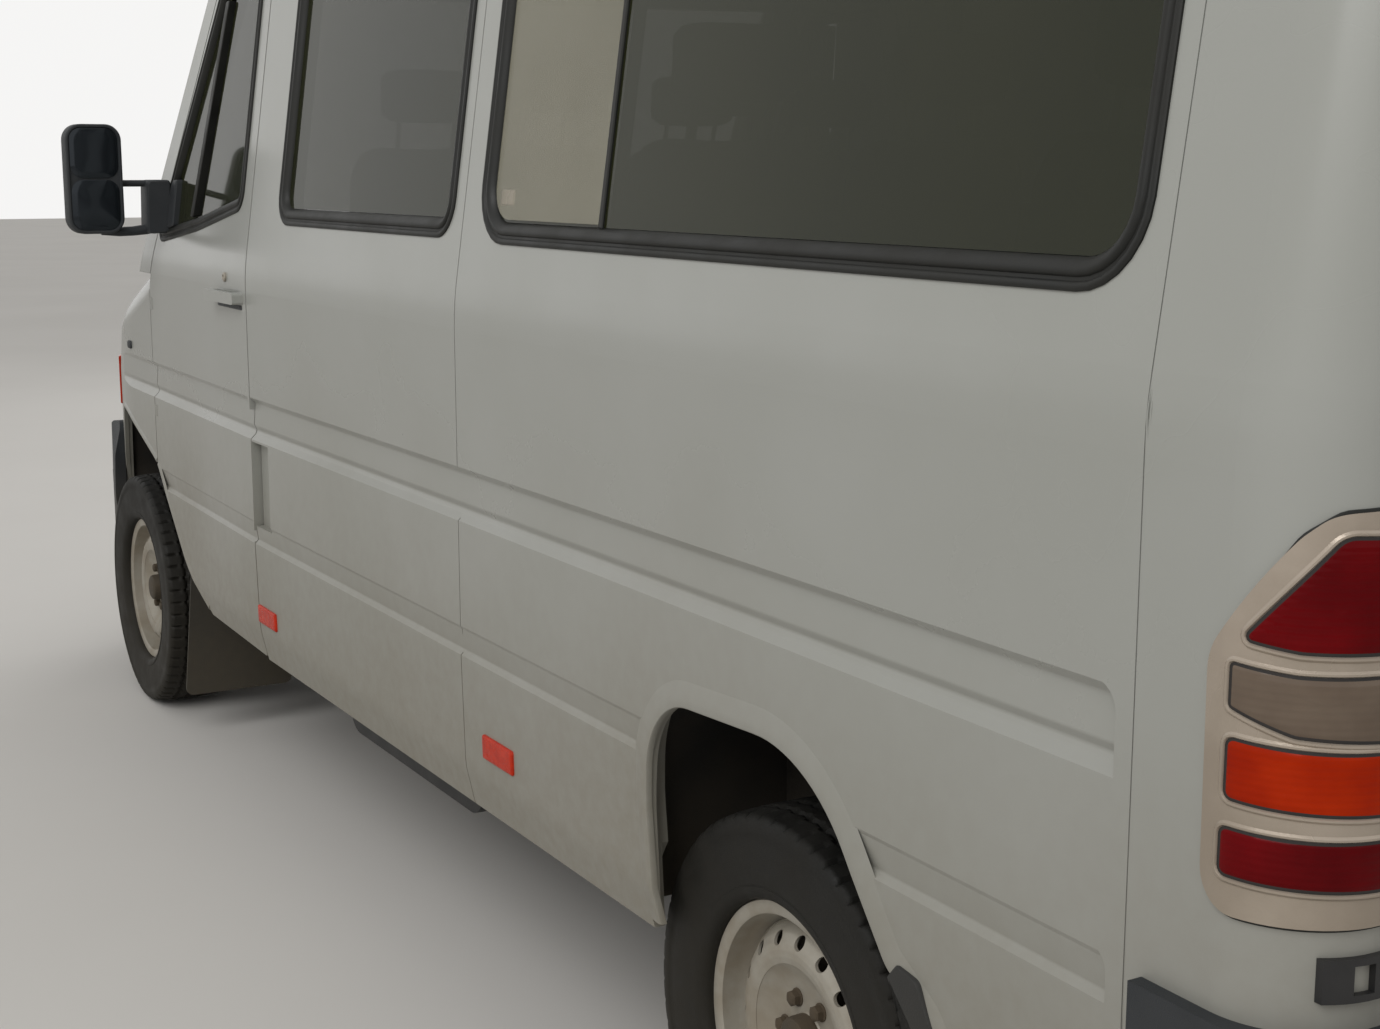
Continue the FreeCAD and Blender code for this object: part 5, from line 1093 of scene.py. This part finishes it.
def at_seats(parts):
    """The same parts at every seat."""
    return [(points + (x, y, SEAT_FOOT), faces) for x, y in SEAT_PLACES for points, faces in parts]


for label, (shape, cap, fill) in PADS.items():
    swollen_pad = swollen(shape(pillow_points), pillow_faces, cap)
    made = piece(f"seat_{label}", at_seats([swollen_pad]), seat_cloth, "body", ["seats"])
    print(label, len(swollen_pad[0]), "points each")

# %% [markdown]
# ## Seat frames
# Under each pad stands a frame of bent steel tube, and two thin rods carry the head rest. The legs' path is a
# line with sharp corners that a moving average softens, as a bending tool does.

# %% Seat frames
FRAME_Y, ROD_Y = 0.130, 0.070
LEG_R, BRACE_R, ROD_R = 0.0125, 0.009, 0.006
BRACES = ((-0.150, 0.100), (0.150, 0.100), (-0.150, 0.300), (0.145, 0.305))
ROD_Z, ROD_X = [0.97, 1.07], [-0.277, -0.303]


def bend_path(corners, count=28, radius=0.05):
    """Open path with rounded corners in the plane of a seat: (x, z) pairs, softened by a moving average."""
    corners = np.array(corners, float)
    steps = np.concatenate([[0], np.cumsum(np.linalg.norm(np.diff(corners, axis=0), axis=1))])
    along = np.linspace(0, steps[-1], count * 4)
    dense = np.column_stack([np.interp(along, steps, corners[:, i]) for i in (0, 1)])
    reach = max(1, int(radius / (steps[-1] / len(along))) // 2)
    kernel = np.ones(2 * reach + 1) / (2 * reach + 1)
    padded_path = np.pad(dense, ((reach, reach), (0, 0)), mode="edge")
    soft = np.column_stack([np.convolve(padded_path[:, i], kernel, "valid") for i in (0, 1)])
    soft[0], soft[-1] = corners[0], corners[-1]
    return soft[::4]


leg = bend_path([(-0.150, 0.014), (-0.150, 0.310), (0.150, 0.320), (0.150, 0.014)])
legs = [tube(np.column_stack([leg[:, 0], np.full(len(leg), y), leg[:, 1]]), LEG_R, 12) for y in (-FRAME_Y, FRAME_Y)]
braces = [tube([(x, y, z) for y in (-FRAME_Y, 0.0, FRAME_Y)], BRACE_R, 10) for x, z in BRACES]
rods = [tube([(np.interp(z, ROD_Z, ROD_X), y, z) for z in np.linspace(*ROD_Z, 4)], ROD_R, 10) for y in (-ROD_Y, ROD_Y)]
piece("seat_frames", at_seats(legs + braces + rods), black_metal, "body", ["seats"])
print("seats:", len(SEAT_PLACES))

# %% [markdown]
# ## Light and floor
# A pale floor and an even white sky stand in for the road and the overcast day. The sky that is seen, or
# mirrored in paint and glass, is white; the sky that lights the body is a little weaker, so that a colour
# comes out about as it is written. One broad lamp from the left gives the soft shadow, and a weak one opposite
# opens it up.

# %% World, lamps and floor
SKY_LIGHT, SKY_SEEN, FLOOR_HALF = 0.50, 0.92, 60
scene = bpy.context.scene
scene.view_settings.view_transform = "Standard"
world = bpy.data.worlds.new("overcast")
world.use_nodes = True
scene.world = world
sky = world.node_tree
ways = block(sky, "LightPath").outputs
seen = maths(sky, "MAXIMUM", maths(sky, "MAXIMUM", ways["Is Camera Ray"], ways["Is Glossy Ray"]),
             ways["Is Transmission Ray"])
power = block(sky, "MapRange", {"Value": seen, 3: SKY_LIGHT, 4: SKY_SEEN}).outputs[0]
backdrop = sky.nodes["Background"]
backdrop.inputs["Color"].default_value = (1.0, 0.995, 0.985, 1.0)
sky.links.new(power, backdrop.inputs["Strength"])


def lamp(name, energy, size, at, towards=(0.0, 0.0, 1.0)):
    """A square soft box of the given size, turned towards a point."""
    light = bpy.data.lights.new(name, "AREA")
    light.energy, light.size = energy, size
    made = bpy.data.objects.new(name, light)
    scene.collection.objects.link(made)
    made.location = at
    made.rotation_euler = (Vector(towards) - Vector(at)).to_track_quat("-Z", "Y").to_euler()


lamp("key", 600.0, 7.0, (-5.5, 8.0, 8.0))
lamp("fill", 180.0, 6.0, (8.0, -6.0, 6.0))
floor_mesh = bpy.data.meshes.new("studio_floor")
floor_corners = [(a * FLOOR_HALF, b * FLOOR_HALF, 0) for a, b in ((-1, -1), (1, -1), (1, 1), (-1, 1))]
floor_mesh.from_pydata(floor_corners, [], [(0, 1, 2, 3)])
studio_floor = bpy.data.objects.new("studio_floor", floor_mesh)
scene.collection.objects.link(studio_floor)
floor_mesh.materials.append(finish("studio_floor", ((214, 211, 206), (211, 208, 203)), (0.8, 0.9), patch=0.5))
